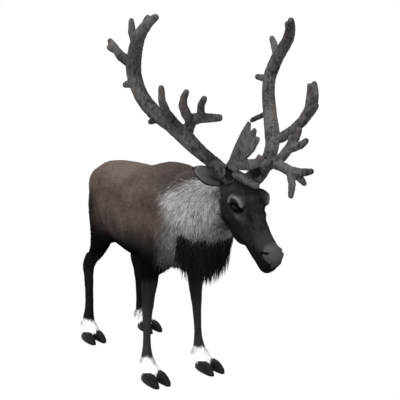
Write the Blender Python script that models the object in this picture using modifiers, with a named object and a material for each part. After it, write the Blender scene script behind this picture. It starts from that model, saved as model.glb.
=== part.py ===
"""Reindeer bull standing square, antlers full grown, as a still life-size model.

Metres, +Z up, the head towards +X and the animal's left towards +Y. All four soles
stand on z = 0. Points below are measured from the line under the fore toe tips and
moved by ORIGIN_X at the end, which puts the origin under the middle of the animal.
"""
import math

import bmesh
import bpy
import numpy as np
from mathutils import Vector
from mathutils.bvhtree import BVHTree

ORIGIN_X = 0.2030
CLEARANCE = 0.0003
ANTLER_FULL = 1.20
ANTLER_SHIFT = (0.0, 0.009, -0.006)
LEG_LONGER = 0.010
LEG_STRETCH_FROM = 0.060
LEG_STRETCH_TO = 0.260
SKIN_OUT = 0.0006
WHOLE_VOXEL = 0.0125
WHOLE_TRIANGLES = 2850
HEAD_VOXEL = 0.0042
HEAD_FINE_TRIANGLES = 9000
HEAD_TRIANGLES = 2000
RING_POINTS = 28
LEG_POINTS = 11

LEG_Y_FORE = 0.160
LEG_Y_HIND = 0.180

LOCK_SUNK = 0.008
LOCK_STEPS = 3
LOCK_BEND = 0.42
RUFF_LENGTH = 0.135
RUFF_WIDTH = 0.062
RUFF_THICK = 0.016
RUFF_LIFT = 0.30
RUFF_ROWS = ((0.040, 0.900), (0.110, 0.905), (0.180, 0.915), (0.250, 0.930), (0.320, 0.960))
RUFF_TURNS = (54.0, 90.0, 126.0)
BEARD_LENGTH = 0.190
BEARD_WIDTH = 0.034
BEARD_THICK = 0.014
# x, height and half spread of each row of beard roots
BEARD_ROOTS = ((0.300, 0.790, 0.040), (0.270, 0.745, 0.055), (0.225, 0.710, 0.058))
BEARD_SPREAD = (-1.0, -0.5, 0.0, 0.5, 1.0)

HEAD_START = np.array([0.42, 0.0, 1.12])
HEAD_ALONG = np.array([0.7172, 0.0, -0.6969])
HEAD_UP = np.array([0.6969, 0.0, 0.7172])
EYE_S = 0.152
EYE_T = -0.006
EYE_Y = 0.0665
EYE_RADIUS = 0.0205
SOCKET_GAP = 0.0014

# x, top height, bottom height, half width of each slice of the trunk
TRUNK = [
    (-1.074, 0.955, 0.825, 0.036),
    (-1.045, 0.990, 0.775, 0.076),
    (-0.995, 1.028, 0.720, 0.114),
    (-0.920, 1.056, 0.675, 0.144),
    (-0.800, 1.069, 0.622, 0.172),
    (-0.640, 1.073, 0.576, 0.204),
    (-0.480, 1.072, 0.560, 0.220),
    (-0.340, 1.096, 0.554, 0.214),
    (-0.220, 1.126, 0.556, 0.200),
    (-0.110, 1.126, 0.578, 0.188),
    (-0.010, 1.102, 0.600, 0.170),
    (0.060, 1.056, 0.630, 0.140),
    (0.110, 0.985, 0.700, 0.090),
]

# top x, top z, bottom x, bottom z, half width of each slice of the neck
NECK = [
    (-0.120, 1.076, -0.050, 0.645, 0.150),
    (-0.030, 1.088, 0.058, 0.630, 0.166),
    (0.080, 1.074, 0.140, 0.640, 0.156),
    (0.180, 1.072, 0.216, 0.684, 0.137),
    (0.275, 1.084, 0.280, 0.744, 0.119),
    (0.350, 1.104, 0.342, 0.804, 0.103),
    (0.410, 1.126, 0.400, 0.858, 0.090),
    (0.450, 1.120, 0.442, 0.912, 0.070),
]

# height, back x, front x and half width of the core under the beard's locks
BEARD = [
    (0.815, 0.280, 0.345, 0.036),
    (0.780, 0.200, 0.322, 0.060),
    (0.740, 0.155, 0.292, 0.068),
    (0.700, 0.138, 0.256, 0.060),
    (0.668, 0.150, 0.222, 0.036),
]

# x, z, half depth, half width, offset of the side from the leg's own y
FORE_LEG = [
    (-0.155, 0.800, 0.090, 0.060, -0.030),
    (-0.165, 0.700, 0.096, 0.064, -0.030),
    (-0.172, 0.620, 0.080, 0.058, -0.026),
    (-0.181, 0.540, 0.060, 0.050, -0.022),
    (-0.190, 0.460, 0.049, 0.043, -0.018),
    (-0.194, 0.405, 0.040, 0.038, -0.015),
    (-0.193, 0.365, 0.038, 0.038, -0.012),
    (-0.194, 0.322, 0.029, 0.030, -0.009),
    (-0.192, 0.200, 0.0235, 0.0245, -0.004),
    (-0.190, 0.150, 0.0270, 0.0275, -0.002),
    (-0.187, 0.114, 0.033, 0.034, -0.001),
    (-0.178, 0.090, 0.037, 0.038, 0.000),
    (-0.158, 0.064, 0.043, 0.044, 0.000),
    (-0.128, 0.040, 0.048, 0.049, 0.001),
    (-0.104, 0.024, 0.040, 0.044, 0.001),
]
HIND_LEG = [
    (-0.870, 0.900, 0.120, 0.056, -0.076),
    (-0.850, 0.800, 0.148, 0.072, -0.076),
    (-0.825, 0.700, 0.140, 0.074, -0.070),
    (-0.812, 0.630, 0.112, 0.066, -0.056),
    (-0.828, 0.565, 0.084, 0.056, -0.044),
    (-0.866, 0.505, 0.068, 0.046, -0.034),
    (-0.922, 0.455, 0.056, 0.041, -0.024),
    (-0.948, 0.415, 0.045, 0.037, -0.018),
    (-0.942, 0.370, 0.034, 0.033, -0.015),
    (-0.931, 0.290, 0.0270, 0.0275, -0.012),
    (-0.927, 0.210, 0.0265, 0.0270, -0.010),
    (-0.928, 0.160, 0.0290, 0.0290, -0.007),
    (-0.929, 0.118, 0.035, 0.035, -0.003),
    (-0.922, 0.092, 0.038, 0.038, 0.000),
    (-0.904, 0.066, 0.043, 0.044, 0.002),
    (-0.878, 0.042, 0.048, 0.049, 0.004),
    (-0.854, 0.026, 0.040, 0.044, 0.005),
]
# name, centre and radii of the muscles that both sides have
MUSCLES = [
    ("shoulder", (-0.110, 0.105, 0.820), (0.150, 0.085, 0.200)),
    ("upper_arm", (-0.130, 0.125, 0.660), (0.105, 0.070, 0.110)),
    ("rump", (-0.930, 0.070, 0.890), (0.138, 0.070, 0.130)),
    ("stifle", (-0.715, 0.118, 0.680), (0.085, 0.055, 0.085)),
]
BRISKET = ((0.055, 0.0, 0.700), (0.100, 0.115, 0.100))
# x, y, height and radius of the tendon and point of the hock
HOCK_POINT = [(-0.942, 0.150, 0.505, 0.017), (-0.994, 0.155, 0.455, 0.021),
              (-0.970, 0.161, 0.385, 0.024)]
# from the back of the fetlock: x, further out, height and radius along a dewclaw
DEWCLAW_OUT = 0.014
DEWCLAW = [(0.022, 0.000, -0.006, 0.0125), (-0.002, 0.008, -0.030, 0.0120),
           (-0.008, 0.011, -0.058, 0.0080)]
KNEE_CUT = {"fore": 0.335, "hind": 0.345}
# x and height of the upper and lower end of the cut between trunk and neck
NECK_PLANE = ((-0.030, 1.300), (0.095, 0.480))
# rear x and inner y, then top height and knee height, of the cut round each upper leg
LEG_CUTS = {
    "fore": ((-0.420, 0.070), (0.555, KNEE_CUT["fore"])),
    "hind": ((-1.300, 0.050), (0.570, KNEE_CUT["hind"])),
}
LEG_FRONT = {"fore": 0.150, "hind": -0.640}
# how far the cuts reach outside the animal: in front, to the sides and below
AHEAD = 0.800
ASIDE = 0.500
BELOW = -0.200
# the leg's y, x of the toe tips and how much further out the hoof stands
LEGS = {"fore": (LEG_Y_FORE, 0.004, 0.004), "hind": (LEG_Y_HIND, -0.748, 0.008)}
# x, y, height and radius along the tail
TAIL = [(-1.030, 0.0, 0.980, 0.034), (-1.082, 0.0, 0.960, 0.036),
        (-1.112, 0.0, 0.905, 0.038), (-1.118, 0.0, 0.850, 0.032),
        (-1.110, 0.0, 0.810, 0.016)]

# distance along the head, top, bottom, half width, corner power
HEAD = [
    (-0.040, 0.000, -0.090, 0.048, 2.0),
    (-0.010, 0.026, -0.126, 0.074, 2.1),
    (0.045, 0.044, -0.148, 0.085, 2.2),
    (0.100, 0.053, -0.156, 0.086, 2.3),
    (0.150, 0.050, -0.156, 0.081, 2.3),
    (0.200, 0.038, -0.150, 0.069, 2.2),
    (0.260, 0.024, -0.141, 0.056, 2.2),
    (0.320, 0.018, -0.131, 0.0485, 2.2),
    (0.370, 0.019, -0.125, 0.0465, 2.3),
    (0.410, 0.020, -0.121, 0.0475, 2.4),
    (0.438, 0.013, -0.114, 0.0435, 2.4),
    (0.456, -0.002, -0.103, 0.0350, 2.2),
]
# name, place along, up and aside, and radii along, aside and up of the paired head forms
HEAD_PAIRS = [
    ("orbit", (0.147, 0.006, 0.061), (0.038, 0.034, 0.034)),
    ("brow", (0.131, 0.028, 0.061), (0.042, 0.030, 0.021)),
    ("cheek", (0.120, -0.078, 0.046), (0.075, 0.036, 0.060)),
    ("cheek_ridge", (0.205, -0.030, 0.043), (0.060, 0.022, 0.018)),
    ("nostril_wing", (0.412, -0.014, 0.031), (0.030, 0.021, 0.027)),
    ("upper_lip", (0.422, -0.050, 0.026), (0.034, 0.023, 0.020)),
    ("pedicle", (0.012, 0.048, 0.070), (0.032, 0.030, 0.044)),
]
HEAD_MIDDLE = [
    ("throat", (0.190, -0.134, 0.0), (0.090, 0.052, 0.058)),
    ("nose_end", (0.430, -0.020, 0.0), (0.030, 0.032, 0.030)),
    ("lower_lip", (0.424, -0.092, 0.0), (0.034, 0.034, 0.026)),
]
# the opening in front of each eyeball, from the ball's own middle
LID_SHIFT = (0.007, -0.001, 0.0235)
LID_OPENING = (0.0190, 0.0160, 0.0120)
NOSTRIL_PLACE = (0.424, -0.028, 0.041)
NOSTRIL_REACH = (0.0190, 0.0075, 0.0115)
# distance along, height and half gape of the slot of the mouth, and the core it leaves
MOUTH_ROWS = ((0.335, -0.056, 0.0018), (0.370, -0.063, 0.0026), (0.400, -0.068, 0.0030),
              (0.430, -0.072, 0.0032), (0.500, -0.076, 0.0036))
MOUTH_HALF = 0.080
MOUTH_CORE = ((0.385, -0.065, 0.0), (0.068, 0.0355, 0.030))
# the right ear stands out sideways and opens to the front, the left one is laid back
EAR_ROOT = (0.418, 0.082, 1.100)
EAR_TIP = {"r": (0.402, 0.215, 1.176), "l": (0.312, 0.185, 1.122)}
EAR_OPENING = {"r": (0.86, -0.10, 0.12), "l": (0.45, 0.85, 0.05)}
# share of the way to the tip, half width and depth of each slice of an ear
EAR_ROWS = ((0.00, 0.020, 0.020), (0.12, 0.027, 0.024), (0.28, 0.037, 0.027),
            (0.46, 0.042, 0.026), (0.64, 0.039, 0.021), (0.80, 0.030, 0.015),
            (0.92, 0.017, 0.010), (1.00, 0.005, 0.005))
EAR_BACKWARD = 0.004
HOLLOW_FORWARD = 0.012


def clean_scene():
    for thing in list(bpy.data.objects):
        bpy.data.objects.remove(thing, do_unlink=True)


def unit(vector):
    return vector / np.linalg.norm(vector)


def make_object(name, points, faces):
    mesh = bpy.data.meshes.new(name)
    mesh.from_pydata([tuple(map(float, p)) for p in points], [], [tuple(f) for f in faces])
    mesh.update()
    thing = bpy.data.objects.new(name, mesh)
    bpy.context.scene.collection.objects.link(thing)
    return thing


def loft(name, rings):
    """Closed skin over equal rings of points, each end closed by a fan."""
    count = len(rings[0])
    points = [p for ring in rings for p in ring]
    faces = []
    for row in range(len(rings) - 1):
        for k in range(count):
            after = (k + 1) % count
            low = row * count
            high = low + count
            faces.append((low + k, low + after, high + after, high + k))
    for row, flip in ((0, True), (len(rings) - 1, False)):
        centre = len(points)
        points.append(np.mean(rings[row], axis=0))
        for k in range(count):
            pair = (row * count + k, row * count + (k + 1) % count)
            faces.append((pair[1], pair[0], centre) if flip else (pair[0], pair[1], centre))
    thing = make_object(name, points, faces)
    face_out(thing)
    return thing


def face_out(thing):
    work = bmesh.new()
    work.from_mesh(thing.data)
    bmesh.ops.recalc_face_normals(work, faces=work.faces)
    if work.calc_volume(signed=True) < 0.0:
        bmesh.ops.reverse_faces(work, faces=work.faces)
    work.to_mesh(thing.data)
    work.free()


def ring(centre, side, up, half_side, up_reach, down_reach, count, power=2.0):
    result = []
    for k in range(count):
        angle = 2.0 * math.pi * k / count
        c = math.cos(angle)
        s = math.sin(angle)
        across = math.copysign(abs(c) ** (2.0 / power), c) * half_side
        reach = up_reach if s > 0.0 else down_reach
        upward = math.copysign(abs(s) ** (2.0 / power), s) * reach
        result.append(centre + side * across + up * upward)
    return result


def ball(name, centre, radii, axes=None, segments=20, rows=12):
    """Ellipsoid with its own three axes."""
    if axes is None:
        axes = (np.array([1.0, 0, 0]), np.array([0, 1.0, 0]), np.array([0, 0, 1.0]))
    rings = []
    for row in range(1, rows):
        tilt = math.pi * row / rows
        height = -math.cos(tilt)
        spread = math.sin(tilt)
        middle = centre + axes[2] * radii[2] * height
        rings.append(ring(middle, axes[0], axes[1], radii[0] * spread,
                          radii[1] * spread, radii[1] * spread, segments))
    return loft(name, rings)


def spline(points, steps):
    """Catmull-Rom rows through points that carry position and radius."""
    rows = np.array(points, dtype=float)
    padded = np.vstack([2 * rows[0] - rows[1], rows, 2 * rows[-1] - rows[-2]])
    result = []
    for k in range(1, len(padded) - 2):
        a, b, c, d = padded[k - 1:k + 3]
        for step in range(steps):
            t = step / steps
            result.append(0.5 * (2 * b + (c - a) * t + (2 * a - 5 * b + 4 * c - d) * t * t
                                 + (3 * b - a - 3 * c + d) * t ** 3))
    result.append(rows[-1])
    return np.array(result)


def tube(name, points, steps=3, sides=8, flat=1.0, flat_axis=None, round_tip=True):
    """Tapered tube through (x, y, z, radius) rows; flat squeezes it across flat_axis."""
    rows = spline(points, steps)
    if round_tip:
        end = rows[-1]
        heading = unit(end[:3] - rows[-2][:3])
        cap = []
        for turn in (35.0, 65.0):
            along = end[3] * math.sin(math.radians(turn))
            cap.append(np.append(end[:3] + heading * along,
                                 end[3] * math.cos(math.radians(turn))))
        rows = np.vstack([rows, cap])
    centres = rows[:, :3]
    guide = np.array([0.0, 1.0, 0.0]) if flat_axis is None else unit(np.array(flat_axis))
    rings = []
    for k, row in enumerate(rows):
        before = centres[max(k - 1, 0)]
        after = centres[min(k + 1, len(rows) - 1)]
        heading = unit(after - before)
        side = guide - heading * float(guide @ heading)
        side = unit(side)
        guide = side
        up = np.cross(heading, side)
        rings.append(ring(row[:3], side, up, row[3] * flat, row[3], row[3], sides))
    return loft(name, rings)


def use(thing, name, **settings):
    modifier = thing.modifiers.new(name, name)
    for key, value in settings.items():
        setattr(modifier, key, value)
    bpy.ops.object.select_all(action="DESELECT")
    bpy.context.view_layer.objects.active = thing
    thing.select_set(True)
    bpy.ops.object.modifier_apply(modifier=modifier.name)


def drop(thing):
    bpy.data.objects.remove(thing, do_unlink=True)


def triangulate(thing):
    work = bmesh.new()
    work.from_mesh(thing.data)
    bmesh.ops.triangulate(work, faces=work.faces)
    work.to_mesh(thing.data)
    work.free()


def keep_largest(thing):
    """Drops every closed surface of a body but the largest."""
    work = bmesh.new()
    work.from_mesh(thing.data)
    bmesh.ops.remove_doubles(work, verts=work.verts, dist=0.00001)
    left = set(work.faces)
    shells = []
    while left:
        seed = left.pop()
        shell = {seed}
        stack = [seed]
        while stack:
            face = stack.pop()
            for edge in face.edges:
                for other in edge.link_faces:
                    if other in left:
                        left.discard(other)
                        shell.add(other)
                        stack.append(other)
        shells.append(shell)
    shells.sort(key=lambda s: -sum(f.calc_area() for f in s))
    for shell in shells[1:]:
        bmesh.ops.delete(work, geom=list(shell), context="FACES")
    loose = [v for v in work.verts if not v.link_faces]
    bmesh.ops.delete(work, geom=loose, context="VERTS")
    bmesh.ops.triangulate(work, faces=work.faces)
    work.to_mesh(thing.data)
    work.free()


def combine(base, others, operation="UNION", solver="EXACT"):
    """One Boolean of a base with a collection of closed bodies, which are then removed."""
    group = bpy.data.collections.new("operands")
    bpy.context.scene.collection.children.link(group)
    for thing in others:
        group.objects.link(thing)
    use(base, "BOOLEAN", operand_type="COLLECTION", collection=group,
        operation=operation, solver=solver)
    for thing in list(group.objects):
        drop(thing)
    bpy.data.collections.remove(group)
    keep_largest(base)
    return base


def copy_of(thing, name):
    twin = bpy.data.objects.new(name, thing.data.copy())
    bpy.context.scene.collection.objects.link(twin)
    return twin


def grown(thing, distance=SKIN_OUT):
    """Copy whose points are moved out along their normals."""
    twin = copy_of(thing, thing.name + "_grown")
    normals = [v.normal.copy() for v in twin.data.vertices]
    for vertex, normal in zip(twin.data.vertices, normals):
        vertex.co += normal * distance
    twin.data.update()
    return twin


def clear_of(thing, others, distance=SKIN_OUT, solver="EXACT"):
    """Cuts a body back so that it stays off its neighbours."""
    return combine(thing, [grown(o, distance) for o in others], "DIFFERENCE", solver)


def block(name, low, high):
    x0, y0, z0 = low
    x1, y1, z1 = high
    points = [(x, y, z) for x in (x0, x1) for y in (y0, y1) for z in (z0, z1)]
    faces = [(0, 1, 3, 2), (4, 6, 7, 5), (0, 4, 5, 1), (2, 3, 7, 6), (0, 2, 6, 4), (1, 5, 7, 3)]
    thing = make_object(name, points, faces)
    face_out(thing)
    return thing


def prism(name, outline, y0, y1):
    """Block whose side outline is given in x and z."""
    points = [(x, y, z) for y in (y0, y1) for x, z in outline]
    count = len(outline)
    faces = [tuple(range(count)), tuple(reversed(range(count, 2 * count)))]
    for k in range(count):
        after = (k + 1) % count
        faces.append((k, after, count + after, count + k))
    thing = make_object(name, points, faces)
    face_out(thing)
    return thing


def fused(name, pieces, voxel, smooth_rounds, triangles):
    """One body out of overlapping pieces: voxels, smoothing, then fewer triangles."""
    points = []
    faces = []
    for piece in pieces:
        start = len(points)
        points.extend([tuple(v.co) for v in piece.data.vertices])
        faces.extend([[start + i for i in p.vertices] for p in piece.data.polygons])
        drop(piece)
    thing = make_object(name, points, faces)
    use(thing, "REMESH", mode="VOXEL", voxel_size=voxel, adaptivity=0.0)
    use(thing, "SMOOTH", factor=0.5, iterations=smooth_rounds)
    triangulate(thing)
    ratio = triangles / len(thing.data.polygons)
    if ratio < 1.0:
        use(thing, "DECIMATE", ratio=ratio)
    keep_largest(thing)
    return thing


def trunk_pieces():
    pieces = []
    rings = []
    for x, top, bottom, half in TRUNK:
        middle = bottom + 0.52 * (top - bottom)
        rings.append(ring(np.array([x, 0.0, middle]), np.array([0, 1.0, 0]),
                          np.array([0, 0, 1.0]), half, top - middle, middle - bottom,
                          RING_POINTS, 2.25))
    pieces.append(loft("trunk", rings))
    rings = []
    for top_x, top_z, low_x, low_z, half in NECK:
        top = np.array([top_x, 0.0, top_z])
        low = np.array([low_x, 0.0, low_z])
        up = unit(top - low)
        middle = low + 0.5 * (top - low)
        reach = np.linalg.norm(top - low) / 2.0
        rings.append(ring(middle, np.array([0, 1.0, 0]), up, half, reach, reach,
                          RING_POINTS, 2.15))
    pieces.append(loft("neck", rings))
    for side in (-1.0, 1.0):
        for leg_y, rows in ((LEG_Y_FORE, FORE_LEG), (LEG_Y_HIND, HIND_LEG)):
            rings = []
            for row in rows[:10]:
                rings.append(leg_ring(row, side, leg_y))
            pieces.append(loft("leg", rings))
        for name, (x, y, z), radii in MUSCLES:
            pieces.append(ball(name, np.array([x, side * y, z]), radii))
        pieces.append(tube("hock_point", [(x, side * y, z, r) for x, y, z, r in HOCK_POINT], 2, 8))
    rings = []
    for z, x0, x1, half in BEARD:
        rings.append(ring(np.array([(x0 + x1) / 2.0, 0.0, z]), np.array([1.0, 0, 0]),
                          np.array([0, 1.0, 0]), (x1 - x0) / 2.0, half, half, LEG_POINTS))
    pieces.append(loft("beard", rings))
    pieces.append(ball("brisket", np.array(BRISKET[0]), BRISKET[1]))
    return pieces


def lock(root, normal, way, length, width, thick, lift, droop):
    """Flat tapered lock: it leaves the skin at a slant, then bends and hangs."""
    across = unit(np.cross(normal, way))
    centre = root - normal * LOCK_SUNK - way * 0.010
    rings = []
    heading = unit(way * math.cos(lift) + normal * math.sin(lift))
    step = length / LOCK_STEPS
    for k in range(LOCK_STEPS + 1):
        part = k / LOCK_STEPS
        swell = 1.0 - 0.25 * (1.0 - part) - 0.80 * part ** 2.2
        half = 0.5 * width * max(swell, 0.10)
        deep = 0.5 * thick * max(1.0 - 0.75 * part, 0.18)
        face = unit(np.cross(across, heading))
        rings.append([centre + across * half, centre - face * deep,
                      centre - across * half, centre + face * deep])
        heading = unit(heading - normal * math.sin(lift) * LOCK_BEND
                       + np.array([0.0, 0.0, -1.0]) * droop)
        across = unit(across - heading * float(across @ heading))
        centre = centre + heading * step
    return loft("lock", rings)


def on_surface(tree, origin, outward):
    """Nearest point that a ray from outside meets on the neck, with its normal."""
    start = Vector(origin + outward * 0.6)
    place, normal, _, _ = tree.ray_cast(start, Vector(-outward))
    if place is None:
        return None
    return np.array(place), np.array(normal)


def neck_locks(neck):
    """Pale ruff locks in rows down the neck and black beard locks under the throat."""
    tree = BVHTree.FromObject(neck, bpy.context.evaluated_depsgraph_get())
    dice = np.random.default_rng(7)
    locks = []
    for row, (x, height) in enumerate(RUFF_ROWS):
        for turn in RUFF_TURNS:
            angle = math.radians(turn + (9.0 if row % 2 else -5.0) + dice.uniform(-4.0, 4.0))
            for side in (-1.0, 1.0):
                outward = np.array([0.0, side * math.sin(angle), math.cos(angle)])
                start = np.array([x + dice.uniform(-0.008, 0.008), 0.0, height])
                hit = on_surface(tree, start, outward)
                if hit is None:
                    continue
                root, normal = hit
                way = np.array([-0.20 - 0.10 * row / len(RUFF_ROWS), 0.0, -1.0])
                way = unit(way - normal * float(way @ normal))
                locks.append(lock(root, normal, way, RUFF_LENGTH * dice.uniform(0.85, 1.15),
                                  RUFF_WIDTH * dice.uniform(0.85, 1.1), RUFF_THICK,
                                  RUFF_LIFT, 0.10))
    for x, z, half in BEARD_ROOTS:
        for share in BEARD_SPREAD:
            y = half * share + dice.uniform(-0.004, 0.004)
            hit = on_surface(tree, np.array([x, y, z]), unit(np.array([0.75, 0.25 * share, -0.30])))
            if hit is None:
                continue
            root, normal = hit
            way = unit(np.array([-0.42, 0.20 * share, -1.0]))
            way = unit(way - normal * float(way @ normal) * 0.8)
            locks.append(lock(root, normal, way, BEARD_LENGTH * dice.uniform(0.82, 1.18),
                              BEARD_WIDTH, BEARD_THICK, 0.16, 0.30))
    return locks


def leg_ring(row, side, leg_y):
    x, z, half_x, half_y, shift = row
    middle = np.array([x, side * (leg_y + shift), z])
    return ring(middle, np.array([1.0, 0, 0]), np.array([0, 1.0, 0]),
                half_x, half_y, half_y, LEG_POINTS, 2.1)


def shank(name, rows, side, leg_y, knee):
    """Lower leg from the cut under the knee or hock down to the coronet."""
    rings = []
    table = np.array(rows)
    start = [float(np.interp(-knee, -table[:, 1], table[:, k])) for k in range(5)]
    start[1] = knee
    rings.append(leg_ring(start, side, leg_y))
    for row in rows:
        if row[1] < knee - 0.004:
            rings.append(leg_ring(row, side, leg_y))
    body = loft(name, rings)
    back = rows[-5][0] - rows[-5][2]
    height = rows[-5][1]
    claws = []
    for toe in (-1.0, 1.0):
        middle = side * leg_y + toe * DEWCLAW_OUT
        path = [(back + x, middle + toe * out, height + z, r) for x, out, z, r in DEWCLAW]
        claws.append(tube("dewclaw", path, 1, 5))
    return combine(body, claws)


def head_point(s, t, y):
    return HEAD_START + HEAD_ALONG * s + HEAD_UP * t + np.array([0.0, y, 0.0])


def head_body():
    side = np.array([0.0, 1.0, 0.0])
    axes = (HEAD_ALONG, side, HEAD_UP)
    rings = []
    for s, top, bottom, half, power in HEAD:
        middle = bottom + 0.56 * (top - bottom)
        rings.append(ring(head_point(s, middle, 0.0), side, HEAD_UP, half, top - middle,
                          middle - bottom, RING_POINTS, power))
    pieces = [loft("skull", rings)]
    for name, (s, t, y), radii in HEAD_PAIRS:
        for sign in (-1.0, 1.0):
            pieces.append(ball(name, head_point(s, t, sign * y), radii, axes))
    for name, place, radii in HEAD_MIDDLE:
        pieces.append(ball(name, head_point(*place), radii, axes))
    head = fused("head", pieces, HEAD_VOXEL, 3, HEAD_FINE_TRIANGLES)
    cuts = []
    for sign in (-1.0, 1.0):
        eye = head_point(EYE_S, EYE_T, sign * EYE_Y)
        cuts.append(ball("socket", eye, (EYE_RADIUS + SOCKET_GAP,) * 3, axes, 24, 16))
        opening = head_point(EYE_S + LID_SHIFT[0], EYE_T + LID_SHIFT[1], sign * (EYE_Y + LID_SHIFT[2]))
        cuts.append(ball("lid_opening", opening, LID_OPENING, axes, 20, 12))
        heading = unit(HEAD_ALONG * 0.75 - HEAD_UP * 0.35 + side * sign * 0.55)
        lift = unit(HEAD_UP - heading * float(HEAD_UP @ heading))
        length_way = unit(HEAD_ALONG + side * sign * -0.10 - HEAD_UP * 0.55)
        s, t, y = NOSTRIL_PLACE
        cuts.append(ball("nostril", head_point(s, t, sign * y), NOSTRIL_REACH,
                         (length_way, unit(np.cross(heading, lift)), lift), 16, 10))
    rows = []
    for s, t, gape in MOUTH_ROWS:
        rows.append([head_point(s, t + gape, -MOUTH_HALF), head_point(s, t + gape, MOUTH_HALF),
                     head_point(s, t - gape, MOUTH_HALF), head_point(s, t - gape, -MOUTH_HALF)])
    mouth = loft("mouth_slot", rows)
    core = ball("mouth_core", head_point(*MOUTH_CORE[0]), MOUTH_CORE[1], axes)
    mouth = combine(mouth, [core], "DIFFERENCE")
    cuts.append(mouth)
    combine(head, cuts, "DIFFERENCE")
    use(head, "DECIMATE", ratio=HEAD_TRIANGLES / len(head.data.polygons))
    keep_largest(head)
    return head


def eye(name, sign):
    axes = (HEAD_ALONG, np.array([0.0, 1.0, 0.0]), HEAD_UP)
    return ball(name, head_point(EYE_S, EYE_T, sign * EYE_Y), (EYE_RADIUS,) * 3, axes, 14, 8)


def ear(name, side, sign):
    """Leaf-shaped cup from the root behind the antler to the tip."""
    root = np.array(EAR_ROOT) * [1.0, sign, 1.0]
    tip = np.array(EAR_TIP[side]) * [1.0, sign, 1.0]
    along = unit(tip - root)
    length = float(np.linalg.norm(tip - root))
    opening = np.array(EAR_OPENING[side]) * [1.0, sign, 1.0]
    opening = unit(opening - along * float(opening @ along))
    across = np.cross(along, opening)
    rings = []
    for part, half, deep in EAR_ROWS:
        centre = root + along * length * part - opening * EAR_BACKWARD
        rings.append(ring(centre, across, opening, half, deep * 0.55, deep, 12, 2.0))
    body = loft(name, rings)
    rings = []
    for part, half, deep in EAR_ROWS[1:-1]:
        centre = root + along * length * part + opening * HOLLOW_FORWARD
        rings.append(ring(centre, across, opening, half * 0.84, deep * 1.2, deep * 0.78, 12))
    hollow = loft("ear_hollow", rings)
    return combine(body, [hollow], "DIFFERENCE")


# back of the toe tip, distance from the foot's middle, half width, height
HOOF_ROWS = (
    (-0.164, 0.026, 0.014, 0.024),
    (-0.152, 0.029, 0.0235, 0.039),
    (-0.115, 0.032, 0.0285, 0.050),
    (-0.075, 0.033, 0.0275, 0.050),
    (-0.040, 0.034, 0.0230, 0.041),
    (-0.012, 0.034, 0.0165, 0.029),
    (0.003, 0.032, 0.0090, 0.014),
)
# shares of the half width and the height round a claw's slice, flat below
HOOF_SECTION = ((-0.94, 0.0), (0.94, 0.0), (1.0, 0.14), (0.96, 0.55), (0.60, 0.95),
                (-0.60, 0.95), (-0.96, 0.55), (-1.0, 0.14))
BRIDGE_BACK = 0.108
BRIDGE_HEIGHT = 0.026
BRIDGE_REACH = (0.028, 0.034, 0.017)


def hoof(name, leg_y, toe_x, sign):
    """Two long claws with flat soles, joined under the coronet."""
    claws = []
    for toe in (-1.0, 1.0):
        rings = []
        for back, side, half, top in HOOF_ROWS:
            y = leg_y * sign + toe * side
            row = []
            for across, rise in HOOF_SECTION:
                row.append(np.array([toe_x + back, y + across * half, rise * top]))
            rings.append(row)
        claws.append(loft("claw", rings))
    bridge = ball("bridge", np.array([toe_x - BRIDGE_BACK, leg_y * sign, BRIDGE_HEIGHT]),
                  BRIDGE_REACH, None, 10, 6)
    body = claws[0]
    body.name = name
    return combine(body, [claws[1], bridge])


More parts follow.
